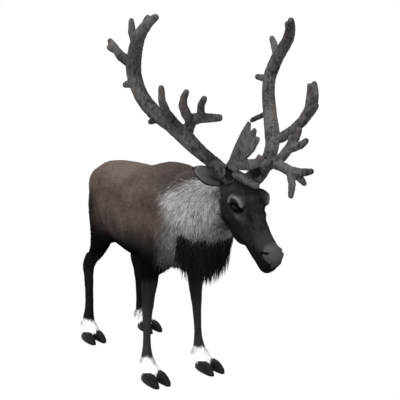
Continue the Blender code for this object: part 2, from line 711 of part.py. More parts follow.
# each antler part: stem points with radius, flattening, then tines with their own flattening
ANTLERS = {
    "r": {
        "beam_low": ([
            (0.450, -0.062, 1.122, 0.026), (0.448, -0.095, 1.158, 0.0265),
            (0.421, -0.154, 1.216, 0.0245), (0.395, -0.201, 1.261, 0.0265),
            (0.348, -0.235, 1.312, 0.0300), (0.277, -0.276, 1.370, 0.0280)], 1.0),
        "brow": ([
            (0.456, -0.086, 1.159, 0.019), (0.497, -0.082, 1.203, 0.0230),
            (0.549, -0.079, 1.261, 0.0340), (0.589, -0.081, 1.312, 0.0330),
            (0.606, -0.082, 1.354, 0.0200), (0.617, -0.081, 1.380, 0.0120)], 0.42,
            (0.45, [(0.580, -0.080, 1.270, 0.030), (0.622, -0.078, 1.312, 0.0200),
                    (0.658, -0.079, 1.356, 0.0120)]),
            (0.45, [(0.560, -0.080, 1.245, 0.028), (0.634, -0.075, 1.288, 0.0200),
                    (0.672, -0.072, 1.322, 0.0110)]),
            (0.5, [(0.500, -0.082, 1.190, 0.022), (0.536, -0.075, 1.203, 0.0230),
                   (0.608, -0.071, 1.208, 0.0210), (0.661, -0.065, 1.222, 0.0170),
                   (0.684, -0.069, 1.247, 0.0120)]),
            (0.9, [(0.462, -0.084, 1.160, 0.016), (0.509, -0.064, 1.154, 0.0165),
                   (0.566, -0.047, 1.132, 0.0155), (0.610, -0.032, 1.114, 0.0120)])),
        "bez": ([
            (0.346, -0.228, 1.312, 0.024), (0.386, -0.238, 1.360, 0.0215),
            (0.424, -0.246, 1.395, 0.0220), (0.479, -0.236, 1.408, 0.0190),
            (0.553, -0.233, 1.411, 0.0150), (0.614, -0.224, 1.415, 0.0115)], 0.85,
            (0.9, [(0.352, -0.245, 1.335, 0.019), (0.373, -0.307, 1.385, 0.0185),
                   (0.391, -0.352, 1.429, 0.0170), (0.409, -0.383, 1.477, 0.0150),
                   (0.422, -0.393, 1.532, 0.0110)]),
            (0.9, [(0.420, -0.246, 1.390, 0.021), (0.464, -0.296, 1.423, 0.0190),
                   (0.486, -0.326, 1.465, 0.0165), (0.507, -0.332, 1.497, 0.0140),
                   (0.532, -0.335, 1.518, 0.0110)]),
            (0.9, [(0.490, -0.236, 1.406, 0.018), (0.530, -0.264, 1.434, 0.0150),
                   (0.562, -0.282, 1.465, 0.0130), (0.602, -0.291, 1.494, 0.0105)])),
        "beam_high": ([
            (0.2765, -0.2763, 1.3704, 0.0278), (0.209, -0.319, 1.420, 0.0275),
            (0.153, -0.351, 1.487, 0.0265), (0.126, -0.369, 1.563, 0.0270),
            (0.136, -0.381, 1.616, 0.0280), (0.170, -0.392, 1.669, 0.0265),
            (0.232, -0.403, 1.741, 0.0230), (0.278, -0.387, 1.796, 0.0185),
            (0.314, -0.362, 1.828, 0.0125)], 1.0,
            (0.9, [(0.262, -0.284, 1.384, 0.016), (0.178, -0.282, 1.383, 0.0145),
                   (0.105, -0.282, 1.367, 0.0110)]),
            (0.9, [(0.128, -0.369, 1.545, 0.020), (0.066, -0.372, 1.541, 0.0150),
                   (0.030, -0.372, 1.536, 0.0115)]),
            (0.9, [(0.150, -0.388, 1.630, 0.022), (0.093, -0.422, 1.665, 0.0185),
                   (0.052, -0.438, 1.710, 0.0145), (0.037, -0.447, 1.732, 0.0110)]),
            (0.9, [(0.070, -0.432, 1.690, 0.013), (0.036, -0.452, 1.704, 0.0110)]),
            (0.9, [(0.205, -0.398, 1.712, 0.020), (0.192, -0.414, 1.772, 0.0155),
                   (0.195, -0.416, 1.815, 0.0110)]),
            (0.9, [(0.262, -0.392, 1.784, 0.015), (0.270, -0.384, 1.812, 0.0125),
                   (0.274, -0.378, 1.828, 0.0100)])),
    },
    "l": {
        "beam_low": ([
            (0.452, 0.066, 1.112, 0.026), (0.456, 0.098, 1.142, 0.0270),
            (0.430, 0.154, 1.195, 0.0245), (0.397, 0.202, 1.250, 0.0265),
            (0.348, 0.237, 1.305, 0.0300), (0.276, 0.277, 1.371, 0.0280)], 1.0),
        "brow": ([
            (0.460, 0.090, 1.142, 0.019), (0.501, 0.093, 1.174, 0.0195),
            (0.544, 0.102, 1.195, 0.0190), (0.582, 0.124, 1.184, 0.0185),
            (0.617, 0.148, 1.164, 0.0190), (0.655, 0.178, 1.162, 0.0150),
            (0.682, 0.207, 1.168, 0.0110)], 0.8,
            (0.9, [(0.620, 0.152, 1.162, 0.017), (0.640, 0.180, 1.135, 0.0140),
                   (0.650, 0.194, 1.114, 0.0110)]),
            (0.9, [(0.612, 0.144, 1.168, 0.017), (0.630, 0.146, 1.110, 0.0150),
                   (0.630, 0.141, 1.060, 0.0110)]),
            (0.9, [(0.538, 0.106, 1.194, 0.018), (0.562, 0.140, 1.224, 0.0185),
                   (0.579, 0.166, 1.266, 0.0180), (0.599, 0.186, 1.311, 0.0140),
                   (0.616, 0.189, 1.345, 0.0110)]),
            (0.9, [(0.578, 0.166, 1.262, 0.016), (0.585, 0.168, 1.292, 0.0130),
                   (0.586, 0.169, 1.311, 0.0110)]),
            (0.9, [(0.582, 0.168, 1.262, 0.017), (0.631, 0.187, 1.280, 0.0145),
                   (0.655, 0.197, 1.300, 0.0110)])),
        "bez": ([
            (0.352, 0.234, 1.276, 0.022), (0.406, 0.255, 1.294, 0.0200),
            (0.461, 0.276, 1.332, 0.0190), (0.505, 0.296, 1.376, 0.0200),
            (0.534, 0.314, 1.421, 0.0200), (0.556, 0.317, 1.463, 0.0165),
            (0.552, 0.324, 1.506, 0.0140), (0.534, 0.333, 1.541, 0.0110)], 0.85,
            (0.9, [(0.490, 0.300, 1.372, 0.018), (0.470, 0.352, 1.428, 0.0155),
                   (0.440, 0.382, 1.481, 0.0135), (0.425, 0.393, 1.528, 0.0105)]),
            (0.9, [(0.545, 0.312, 1.436, 0.018), (0.580, 0.300, 1.470, 0.0140),
                   (0.598, 0.293, 1.496, 0.0105)]),
            (0.9, [(0.536, 0.306, 1.410, 0.018), (0.598, 0.278, 1.433, 0.0150),
                   (0.646, 0.255, 1.452, 0.0110)])),
        "beam_high": ([
            (0.2755, 0.2773, 1.3714, 0.0278), (0.207, 0.320, 1.417, 0.0275),
            (0.154, 0.350, 1.483, 0.0265), (0.128, 0.374, 1.560, 0.0260),
            (0.138, 0.389, 1.612, 0.0265), (0.169, 0.394, 1.665, 0.0255),
            (0.234, 0.403, 1.742, 0.0230), (0.277, 0.386, 1.798, 0.0185),
            (0.314, 0.360, 1.830, 0.0125)], 1.0,
            (0.9, [(0.262, 0.286, 1.385, 0.015), (0.182, 0.312, 1.385, 0.0110),
                   (0.123, 0.302, 1.363, 0.0100), (0.092, 0.297, 1.350, 0.0095)]),
            (0.9, [(0.128, 0.373, 1.552, 0.019), (0.063, 0.371, 1.560, 0.0140),
                   (0.026, 0.372, 1.564, 0.0110)]),
            (0.9, [(0.152, 0.396, 1.640, 0.022), (0.128, 0.412, 1.684, 0.0170),
                   (0.090, 0.426, 1.726, 0.0145), (0.055, 0.438, 1.755, 0.0115)]),
            (0.9, [(0.258, 0.392, 1.780, 0.015), (0.258, 0.380, 1.818, 0.0105)])),
    },
}
BURR_PLACE = (0.450, 0.086, 1.152)
BURR_REACH = (0.036, 0.036, 0.014)


def fuller(rows):
    """The tables' points with the thickness of antlers in velvet."""
    dx, dy, dz = ANTLER_SHIFT
    return [(x + dx, y + dy, z + dz, r * ANTLER_FULL) for x, y, z, r in rows]


def antler(side_name):
    """Four nodes: lower beam with its burr, brow tine, bez tine, upper beam."""
    table = ANTLERS[side_name]
    nodes = []
    for part in ("beam_low", "brow", "bez", "beam_high"):
        stem, flat, *branches = table[part]
        name = "antler_%s_%s" % (side_name, part)
        sides = 8
        steps = 2 if "beam" in part else 1
        body = tube(name, fuller(stem), steps, sides, flat, None, part != "beam_low")
        pieces = [tube("tine", fuller(rows), 1, 6, tine_flat) for tine_flat, rows in branches]
        if part == "beam_low":
            sign = -1.0 if side_name == "r" else 1.0
            up = unit(np.array([-0.22, 0.52 * sign, 0.50]))
            front = unit(np.cross(np.array([0.0, 1.0, 0.0]), up))
            pieces.append(ball("burr", np.array(BURR_PLACE) * [1.0, sign, 1.0], BURR_REACH,
                               (front, np.cross(up, front), up), 12, 6))
        combine(body, pieces, "UNION", "MANIFOLD")
        if nodes:
            clear_of(body, [nodes[0]], SKIN_OUT, "MANIFOLD")
        nodes.append(body)
    return nodes


def paint(thing, color, roughness):
    material = bpy.data.materials.new(thing.name + "_material")
    material.use_nodes = True
    shader = material.node_tree.nodes["Principled BSDF"]
    shader.inputs["Base Color"].default_value = (color[0], color[1], color[2], 1.0)
    shader.inputs["Roughness"].default_value = roughness
    thing.data.materials.clear()
    thing.data.materials.append(material)


def settle(thing):
    """Moves a body's points so that the origin lies under the middle of the animal."""
    for vertex in thing.data.vertices:
        vertex.co.x += ORIGIN_X
        share = (vertex.co.z - LEG_STRETCH_FROM) / (LEG_STRETCH_TO - LEG_STRETCH_FROM)
        vertex.co.z += LEG_LONGER * min(1.0, max(0.0, share))
    for polygon in thing.data.polygons:
        polygon.use_smooth = True
    thing.data.update()


COAT = (0.105, 0.088, 0.076)
RUFF = (0.260, 0.245, 0.230)
DARK = (0.020, 0.017, 0.016)
SHANK = (0.035, 0.029, 0.026)
HORN = (0.055, 0.047, 0.042)
HOOF = (0.012, 0.011, 0.011)
EYE_DARK = (0.010, 0.007, 0.005)

clean_scene()
whole = fused("whole", trunk_pieces(), WHOLE_VOXEL, 6, WHOLE_TRIANGLES)

NODES = {}
neck_zone = prism("neck_zone", [*NECK_PLANE, (AHEAD, 0.40), (AHEAD, 1.30)], -ASIDE, ASIDE)
zones = {}
for leg, ((back, inner), (top, knee)) in LEG_CUTS.items():
    front = LEG_FRONT[leg]
    for side, sign in (("r", -1.0), ("l", 1.0)):
        near, out = sorted((inner * sign, ASIDE * sign))
        zones[leg + "_leg_" + side] = block("zone", (back, near, knee), (front, out, top))
        zones[leg + "_all_" + side] = block("zone", (back - CLEARANCE, near - CLEARANCE, BELOW),
                                            (front + CLEARANCE, out, top + CLEARANCE))
body = copy_of(whole, "body")
combine(body, [zones.pop(leg + "_all_" + side) for leg in ("fore", "hind") for side in ("r", "l")]
        + [copy_of(neck_zone, "neck_zone_twin")], "DIFFERENCE")
NODES["body"] = body
for vertex in neck_zone.data.vertices:
    vertex.co.x += CLEARANCE * 1.2
for name, zone in zones.items():
    NODES[name] = combine(copy_of(whole, name), [zone], "INTERSECT")
neck = combine(copy_of(whole, "neck"), [neck_zone], "INTERSECT")
drop(whole)

head = head_body()
combine(neck, neck_locks(neck))
clear_of(neck, [body, head, NODES["fore_leg_r"], NODES["fore_leg_l"]])
NODES["neck"] = neck
NODES["head"] = head
for side, sign in (("r", -1.0), ("l", 1.0)):
    NODES["eye_" + side] = eye("eye_" + side, sign)
    parts = antler(side)
    clear_of(parts[0], [head], SKIN_OUT, "MANIFOLD")
    clear_of(parts[1], [head], SKIN_OUT, "MANIFOLD")
    for part in parts:
        NODES[part.name] = part
    flap = ear("ear_" + side, side, sign)
    clear_of(flap, [head, neck, parts[0]], SKIN_OUT, "MANIFOLD")
    NODES["ear_" + side] = flap
    for leg, rows in (("fore", FORE_LEG), ("hind", HIND_LEG)):
        leg_y, toe, splay = LEGS[leg]
        foot = hoof("%s_hoof_%s" % (leg, side), leg_y + splay, toe, sign)
        lower = shank("%s_shank_%s" % (leg, side), rows, sign, leg_y,
                      KNEE_CUT[leg] - CLEARANCE)
        clear_of(lower, [foot])
        NODES[lower.name] = lower
        NODES[foot.name] = foot
tail = tube("tail", TAIL, 2, 10)
clear_of(tail, [body])
NODES["tail"] = tail

for name, thing in NODES.items():
    thing.name = name
    thing.data.name = name
    settle(thing)
    if "hoof" in name:
        paint(thing, HOOF, 0.45)
    elif "antler" in name:
        paint(thing, HORN, 0.7)
    elif "eye" in name:
        paint(thing, EYE_DARK, 0.1)
    elif name == "neck":
        paint(thing, RUFF, 0.9)
    elif "shank" in name:
        paint(thing, SHANK, 0.9)
    elif name in ("head", "ear_r", "ear_l"):
        paint(thing, DARK, 0.85)
    else:
        paint(thing, COAT, 0.9)

low = np.array([min(v.co[k] for t in NODES.values() for v in t.data.vertices) for k in range(3)])
high = np.array([max(v.co[k] for t in NODES.values() for v in t.data.vertices) for k in range(3)])
print("box", low.round(4), high.round(4), "middle", ((low + high) / 2).round(4))
print("triangles", sum(len(t.data.polygons) for t in NODES.values()),
      {n: len(t.data.polygons) for n, t in NODES.items()})
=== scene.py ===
import math

import bmesh
import bpy
import numpy as np
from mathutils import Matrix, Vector, noise


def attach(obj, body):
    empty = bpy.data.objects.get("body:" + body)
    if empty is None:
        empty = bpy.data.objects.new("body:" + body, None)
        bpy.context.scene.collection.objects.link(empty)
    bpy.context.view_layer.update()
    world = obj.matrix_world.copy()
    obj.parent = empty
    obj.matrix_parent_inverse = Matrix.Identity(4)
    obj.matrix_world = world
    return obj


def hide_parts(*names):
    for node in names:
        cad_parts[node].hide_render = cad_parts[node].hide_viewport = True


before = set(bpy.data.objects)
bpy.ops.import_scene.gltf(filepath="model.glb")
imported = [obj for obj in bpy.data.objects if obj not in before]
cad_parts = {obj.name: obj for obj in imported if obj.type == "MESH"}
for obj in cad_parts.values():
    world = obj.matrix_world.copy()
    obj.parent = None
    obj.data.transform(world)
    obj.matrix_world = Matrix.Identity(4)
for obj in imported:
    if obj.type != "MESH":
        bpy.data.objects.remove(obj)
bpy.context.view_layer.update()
bpy.ops.object.select_all(action="DESELECT")
SIDES = (("r", -1.0), ("l", 1.0))
dice = np.random.default_rng(41)

# %% [markdown]
# Every piece starts as a copy of the solids it stands for. A Boolean union could join them,
# but it keeps every flat face and hard seam. The solids leave a hair's breadth between
# them, so the copies are fattened a little, joined, and remeshed with small voxels, which
# melts them into one body the way skin runs over a real animal.
# %% Tools for melting solids together
def make_active(thing):
    bpy.ops.object.select_all(action="DESELECT")
    thing.select_set(True)
    bpy.context.view_layer.objects.active = thing


def finish_with(thing, kind, **settings):
    make_active(thing)
    modifier = thing.modifiers.new(kind, kind)
    for key, value in settings.items():
        setattr(modifier, key, value)
    bpy.ops.object.modifier_apply(modifier=modifier.name)


def copy_solids(names, title, more=()):
    copies = []
    for name in names:
        twin = bpy.data.objects.new(title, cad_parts[name].data.copy())
        twin.data.materials.clear()
        bpy.context.scene.collection.objects.link(twin)
        copies.append(twin)
    copies += more
    bpy.ops.object.select_all(action="DESELECT")
    for twin in copies:
        twin.select_set(True)
    bpy.context.view_layer.objects.active = copies[0]
    if len(copies) > 1:
        bpy.ops.object.join()
    finish_with(copies[0], "WELD", merge_threshold=0.00001)
    return copies[0]


def melt(names, title, voxel, fatten, smooth_rounds, more=()):
    body = copy_solids(names, title, more)
    finish_with(body, "DISPLACE", strength=fatten, mid_level=0.0)
    finish_with(body, "REMESH", mode="VOXEL", voxel_size=voxel)
    finish_with(body, "SMOOTH", factor=0.5, iterations=smooth_rounds)
    return body


def points_of(thing):
    flat = np.empty(len(thing.data.vertices) * 3)
    thing.data.vertices.foreach_get("co", flat)
    return flat.reshape(-1, 3)


def normals_of(thing):
    flat = np.empty(len(thing.data.vertices) * 3)
    thing.data.vertices.foreach_get("normal", flat)
    return flat.reshape(-1, 3)


def put_points(thing, points):
    thing.data.vertices.foreach_set("co", np.ascontiguousarray(points, dtype=np.float32).ravel())
    thing.data.update()

# %% [markdown]
# The head hangs at a slant, so heights and lengths of the whole scene are awkward on it.
# Its places are given in its own directions instead: how far along from the poll to the
# nose, how far up from that line, and how far out to the side.
# %% Head directions
HEAD_START = np.array([0.623, 0.0, 1.130])
ALONG = np.array([0.7172, 0.0, -0.6969])
UP = np.array([0.6969, 0.0, 0.7172])
# along, up and out
EYE_PLACE = (0.152, -0.006, 0.0665)
EYE_RADIUS = 0.0205


def on_head(s, t, y):
    return HEAD_START + ALONG * s + UP * t + np.array([0.0, y, 0.0])


def head_places(points):
    """Distance along, up and out to the side for points in the frame."""
    from_start = points - HEAD_START
    return from_start @ ALONG, from_start @ UP, points[:, 1]


def ramp(value, start, end):
    """0 before start, 1 after end, smooth between."""
    share = np.clip((value - start) / (end - start), 0.0, 1.0)
    return share * share * (3.0 - 2.0 * share)


def between(value, low, high):
    return (value > low) & (value < high)


print("eye at", on_head(*EYE_PLACE).round(3))

# %% [markdown]
# In the solids the neck carries its locks, and the skin must run under them. So the neck
# gets a smooth core of its own, and so does the beard. It could be a stack of circles
# bridged by hand, but a ball whose rings of points are moved onto oval slices is closed
# from the start and keeps its rings even.
# %% The core of the neck and the beard
# x and z of the nape, x and z of the throat, half width
NECK_SLICES = [
    ((0.083, 1.086), (0.153, 0.655), 0.150),
    ((0.173, 1.098), (0.261, 0.640), 0.166),
    ((0.283, 1.084), (0.343, 0.650), 0.156),
    ((0.383, 1.082), (0.419, 0.694), 0.137),
    ((0.478, 1.094), (0.428, 0.768), 0.119),
    ((0.553, 1.114), (0.484, 0.826), 0.103),
    ((0.613, 1.136), (0.566, 0.880), 0.090),
    ((0.653, 1.130), (0.630, 0.940), 0.070),
]
# x and z of the front, x and z of the back, half width
BEARD_SLICES = [
    ((0.482, 0.825), (0.440, 0.825), 0.036),
    ((0.464, 0.790), (0.386, 0.790), 0.060),
    ((0.441, 0.750), (0.350, 0.750), 0.068),
    ((0.416, 0.710), (0.336, 0.710), 0.060),
    ((0.394, 0.678), (0.348, 0.678), 0.036),
]
# 2 makes a slice an ellipse, and more squares it
SLICE_POWER = 2.15


def power_wave(wave):
    return np.sign(wave) * np.abs(wave) ** (2.0 / SLICE_POWER)


def sliced_form(title, slices):
    bpy.ops.object.select_all(action="DESELECT")
    bpy.ops.mesh.primitive_uv_sphere_add(segments=28, ring_count=len(slices) + 1)
    form = bpy.context.object
    form.name = title
    points = points_of(form)
    levels = np.unique(points[:, 2].round(4))[::-1]
    row = np.argmin(np.abs(points[:, 2:3] - levels[None]), axis=1)
    angle = np.arctan2(points[:, 1], points[:, 0])
    inner = np.clip(row - 1, 0, len(slices) - 1)
    high = np.array([(x, 0.0, z) for (x, z), low, half in slices])[inner]
    low = np.array([(x, 0.0, z) for high_end, (x, z), half in slices])[inner]
    half = np.array([row[2] for row in slices])[inner]
    pole = (row == 0) | (row == len(slices) + 1)
    rise = np.where(pole, 0.0, power_wave(np.sin(angle)))
    aside = np.where(pole, 0.0, power_wave(np.cos(angle)))
    moved = (high + low) / 2.0 + (high - low) / 2.0 * rise[:, None]
    moved[:, 1] += half * aside
    put_points(form, moved)
    bpy.ops.object.mode_set(mode="EDIT")
    bpy.ops.mesh.select_all(action="SELECT")
    bpy.ops.mesh.normals_make_consistent(inside=False)
    bpy.ops.object.mode_set(mode="OBJECT")
    return form


cores = [sliced_form("neck_core", NECK_SLICES), sliced_form("beard_core", BEARD_SLICES)]
print("cores:", [len(c.data.vertices) for c in cores])

# %% [markdown]
# The solid head has open sockets, nostrils and a mouth slot. Filling them by hand with new
# faces is slow and leaves creases. Balls that plug them before the melt bring the skin out
# whole, and the same places can then be sculpted finely.
# %% Plugs for the eyes, nostrils and mouth
# place along, up and out, and reach along, aside and up
SOCKET_PLUG = (EYE_PLACE, (0.0225, 0.0225, 0.0225))
LID_PLUG = ((0.158, -0.005, 0.0720), (0.0240, 0.0220, 0.0180))
NOSTRIL_PLUG = ((0.418, -0.026, 0.0300), (0.0220, 0.0180, 0.0130))
MOUTH_PLUG = ((0.392, -0.066, 0.0), (0.0640, 0.0440, 0.0160))


def plug(place, reach):
    bpy.ops.object.select_all(action="DESELECT")
    bpy.ops.mesh.primitive_uv_sphere_add(segments=24, ring_count=14, radius=1.0)
    ball = bpy.context.object
    ball.name = "plug"
    a, b, c = points_of(ball).T
    moved = on_head(*place)[None] + np.outer(a * reach[0], ALONG) + np.outer(c * reach[2], UP)
    moved[:, 1] += b * reach[1]
    put_points(ball, moved)
    return ball


plugs = []
for (along, up, out), reach in (SOCKET_PLUG, LID_PLUG, NOSTRIL_PLUG):
    plugs += [plug((along, up, out), reach), plug((along, up, -out), reach)]
plugs.append(plug(*MOUTH_PLUG))
print("plugs:", len(plugs))

# %% [markdown]
# The skin takes the place of all the flesh: body, neck, head, legs and tail in one piece.
# One loft could give it too, but the melt keeps the outline that the solids already have.
# Voxels of eight millimetres are fine enough for the body.
# %% One skin
FLESH = ["body", "neck", "head", "tail"]
for side, sign in SIDES:
    FLESH += [part + side for part in ("fore_leg_", "hind_leg_", "fore_shank_", "hind_shank_")]
SKIN_VOXEL = 0.0078
SKIN_FATTEN = 0.0012
SMOOTH_ROUNDS = 4
solid_flesh = [name for name in FLESH if name != "neck"]
skin = melt(solid_flesh, "skin", SKIN_VOXEL, SKIN_FATTEN, SMOOTH_ROUNDS, cores + plugs)
print("melted skin:", len(skin.data.polygons), "faces")

# %% [markdown]
# The face has folds of two or three millimetres, and such small voxels everywhere would
# cost millions of faces. So only the head is divided again, twice round the eyes and on
# the muzzle, and once more at the lids and the nostrils.
# %% Finer faces on the head
# along the head and up from its line
HEAD_REACH = ((-0.02, 0.60), (-0.20, 0.12))
MUZZLE = (0.345, 0.50)
# reach along and up, round the eye's place
ROUND_EYE = (0.090, 0.056)
LIDS = (0.048, 0.034)
NOSTRIL_PLACE = (0.412, -0.016)
NOSTRIL_REACH = (0.026, 0.030)


def divide_where(thing, wanted):
    work = bmesh.new()
    work.from_mesh(thing.data)
    work.verts.ensure_lookup_table()
    places = np.array([v.co for v in work.verts])
    keep = wanted(places)
    edges = [e for e in work.edges if keep[e.verts[0].index] and keep[e.verts[1].index]]
    bmesh.ops.subdivide_edges(work, edges=edges, cuts=1, use_grid_fill=True, smooth=0.0)
    bmesh.ops.triangulate(work, faces=work.faces)
    work.to_mesh(thing.data)
    work.free()


def side_patch(points, place, reach, least_out):
    """True in a box on both sides of the head."""
    s, t, y = head_places(points)
    return ((np.abs(s - place[0]) < reach[0]) & (np.abs(t - place[1]) < reach[1])
            & (np.abs(y) > least_out))


def on_whole_head(points):
    s, t, y = head_places(points)
    return between(s, *HEAD_REACH[0]) & between(t, *HEAD_REACH[1])


def near_folds(points):
    s, t, y = head_places(points)
    return side_patch(points, EYE_PLACE, ROUND_EYE, 0.035) | between(s, *MUZZLE)


def at_rims(points):
    nostril = side_patch(points, NOSTRIL_PLACE, NOSTRIL_REACH, 0.018)
    return side_patch(points, EYE_PLACE, LIDS, 0.035) | nostril


for wanted in (on_whole_head, near_folds, at_rims):
    divide_where(skin, wanted)
print("skin:", len(skin.data.vertices), "points,", len(skin.data.polygons), "triangles")

# %% [markdown]
# The hair has depth, so the skin lies inside the solids by the coat's depth: seven
# millimetres on the trunk, three on the legs and two on the face. The neck's core lies
# inside its locks already, and two are enough there too. Scaling the skin down would pull
# the legs together, so each point moves inwards along its own normal instead. Before
# that, the head loses the steps that the voxels left.
# %% How deep the coat is
TRUNK_DEPTH = 0.0070
LESS_ON_NECK = 0.0050
HEAD_DEPTH = 0.0020
LEG_DEPTH = 0.0030


def coat_depth(points):
    s, t, y = head_places(points)
    x, z = points[:, 0], points[:, 2]
    head = ramp(s, -0.03, 0.06) * (x > 0.55)
    legs = 1.0 - ramp(z, 0.42, 0.60)
    neck = ramp(x, 0.14, 0.26) * (1.0 - head)
    depth = TRUNK_DEPTH - LESS_ON_NECK * neck
    depth = depth * (1.0 - head) + HEAD_DEPTH * head
    return depth * (1.0 - legs) + LEG_DEPTH * legs


def smooth_where(thing, weight, rounds):
    mesh = thing.data
    points = points_of(thing)
    pairs = np.empty(len(mesh.edges) * 2, dtype=np.int64)
    mesh.edges.foreach_get("vertices", pairs)
    first, second = pairs.reshape(-1, 2).T
    degree = np.bincount(first, minlength=len(points)) + np.bincount(second, minlength=len(points))
    for _ in range(rounds):
        total = np.zeros_like(points)
        for axis in range(3):
            total[:, axis] += np.bincount(first, points[second, axis], len(points))
            total[:, axis] += np.bincount(second, points[first, axis], len(points))
        points += (total / np.maximum(degree, 1)[:, None] - points) * 0.6 * weight[:, None]
    put_points(thing, points)


along_head = head_places(points_of(skin))[0]
smooth_where(skin, ramp(along_head, 0.0, 0.05), 10)
where = points_of(skin)
put_points(skin, where - normals_of(skin) * coat_depth(where)[:, None])
print("coat depth: %.1f mm on the trunk" % (1000 * TRUNK_DEPTH))

# %% [markdown]
# Bone and muscle show through the short hair of the face. They could be sculpted by hand
# with brushes, but strokes aren't kept in a script. So a table of soft brushes stands in:
# each has a place on the head, its reach along, up and out, and how far the skin is
# pushed out or in there, on both sides alike.
# %% Face brushes
BRUSHES = [
    ("hollow before the eye", (0.236, 0.000, 0.048), (0.034, 0.014, 0.020), -0.0060),
    ("cheek ridge", (0.205, -0.046, 0.062), (0.050, 0.011, 0.026), 0.0040),
    ("hollow under the cheek", (0.235, -0.080, 0.052), (0.055, 0.020, 0.026), -0.0045),
    ("jaw muscle", (0.095, -0.090, 0.078), (0.045, 0.042, 0.030), 0.0045),
    ("temple", (0.070, 0.020, 0.078), (0.024, 0.020, 0.024), -0.0040),
    ("forehead", (0.150, 0.052, 0.000), (0.026, 0.014, 0.016), 0.0045),
    ("nose bridge", (0.290, 0.024, 0.000), (0.080, 0.016, 0.020), 0.0030),
    ("side of the nose", (0.330, -0.006, 0.044), (0.050, 0.014, 0.018), -0.0025),
    ("nostril wing", (0.418, 0.000, 0.038), (0.024, 0.014, 0.018), 0.0040),
    ("upper lip", (0.432, -0.036, 0.038), (0.030, 0.013, 0.020), 0.0035),
    ("lower lip", (0.425, -0.088, 0.036), (0.036, 0.011, 0.022), 0.0035),
    ("chin", (0.428, -0.106, 0.000), (0.026, 0.018, 0.030), 0.0035),
    ("jaw base", (0.335, -0.128, 0.000), (0.062, 0.022, 0.040), 0.0090),
    ("pedicle", (0.008, 0.086, 0.074), (0.034, 0.026, 0.034), -0.0160),
    ("nose end", (0.448, 0.018, 0.000), (0.020, 0.014, 0.030), -0.0040),
]


def brush_weight(points, place, reach):
    s, t, y = head_places(points)
    away = ((s - place[0]) / reach[0]) ** 2 + ((t - place[1]) / reach[1]) ** 2
    away = away + ((np.abs(y) - place[2]) / reach[2]) ** 2
    return np.exp(-away)


shape = points_of(skin)
outward = normals_of(skin)
for title, place, reach, push in BRUSHES:
    shape += outward * (brush_weight(shape, place, reach) * push)[:, None]
put_points(skin, shape)
print("face brushes:", len(BRUSHES))

# %% [markdown]
# A reindeer's eye lies deep under a heavy upper lid. Lids cut from rings of faces need a
# clean grid, which a melted skin hasn't got. So the skin round the ball is moved in the
# eye's own plane: the slit is an almond whose rim hugs the ball, a wide dark hollow
# surrounds it, a round ridge arches over the hollow, and a soft bag lies below it.
# %% The eye's own plane
SLIT_LONG = 0.0190
SLIT_HIGH = 0.0120
SLIT_LOW = 0.0110
HOLLOW_LONG = 0.0360
HOLLOW_TALL = 0.0235
HOLLOW_MIDDLE = (0.005, 0.000)
RIDGE_MIDDLE = (-0.008, 0.009)
RIDGE_RADIUS = 0.0385
RIDGE_WIDTH = 0.0115
EYE_TILT = math.radians(18.0)
FORWARD_LOOK = 0.50
UPWARD_LOOK = 0.16
LID_REACH = (0.125, 0.070)


def eye_axes(sign):
    out = np.array([0.0, sign, 0.0]) + FORWARD_LOOK * ALONG + UPWARD_LOOK * UP
    out = out / np.linalg.norm(out)
    slit = ALONG * math.cos(EYE_TILT) + UP * math.sin(EYE_TILT)
    slit = slit - out * float(slit @ out)
    slit = slit / np.linalg.norm(slit)
    across = np.cross(slit, out)
    return slit, across * np.sign(across @ UP), out


def eye_places(points, sign):
    """Along the slit, across it and out from the ball's middle, in the eye's own plane."""
    offset = points - on_head(EYE_PLACE[0], EYE_PLACE[1], EYE_PLACE[2] * sign)
    slit, across, out = eye_axes(sign)
    u, v, w = offset @ slit, offset @ across, offset @ out
    slit_ring = np.sqrt((u / SLIT_LONG) ** 2 + (v / np.where(v > 0, SLIT_HIGH, SLIT_LOW)) ** 2)
    hollow_ring = np.sqrt(((u - HOLLOW_MIDDLE[0]) / HOLLOW_LONG) ** 2
                          + ((v - HOLLOW_MIDDLE[1]) / HOLLOW_TALL) ** 2)
    near = between(w, -0.030, 0.060) & (np.abs(u) < LID_REACH[0]) & (np.abs(v) < LID_REACH[1])
    return u, v, w, slit_ring, hollow_ring, near


def soft_spot(u, v, middle, reach, turn):
    """1 in the middle of a turned oval, fading to 0 outside it."""
    c, s = math.cos(turn), math.sin(turn)
    a = (u - middle[0]) * c + (v - middle[1]) * s
    b = (v - middle[1]) * c - (u - middle[0]) * s
    return np.exp(-(a / reach[0]) ** 2 - (b / reach[1]) ** 2)


# middle, reach and turn of the bag under the eye and of the groove in front of it
BAG = ((0.028, -0.0345), (0.026, 0.0135), math.radians(4.0))
GROOVE = ((0.080, -0.012), (0.034, 0.0095), math.radians(-42.0))


def lid_ridge(u, v):
    """How strongly a place belongs to the thick round ridge over the eye."""
    away = np.hypot(u - RIDGE_MIDDLE[0], v - RIDGE_MIDDLE[1]) - RIDGE_RADIUS
    return np.exp(-(away / RIDGE_WIDTH) ** 2) * ramp(v - 0.30 * u, -0.004, 0.012)


print("eye looks along", eye_axes(1.0)[2].round(2))

# %% [markdown]
# A real lid is a thin fold that slides on the ball. Here its rim lies a millimetre over the
# ball and has a thickness of its own. From there the skin drops behind the rim inside the
# slit, and rises to the cheek outside the hollow.
# %% Lids
LID_GAP = 0.0010
LID_THICK = 0.0016
RIM_LEAST = 0.0112
BEHIND_RIM = 0.0060
RIDGE_PUSH = 0.0100
BAG_PUSH = 0.0105
GROOVE_PUSH = 0.0065
# place on the slit's rings, width and height of the rolled rim and the fold above it
RIM_ROLL = (1.22, 0.12, 0.0012)
UPPER_FOLD = (1.62, 0.12, 0.0016)

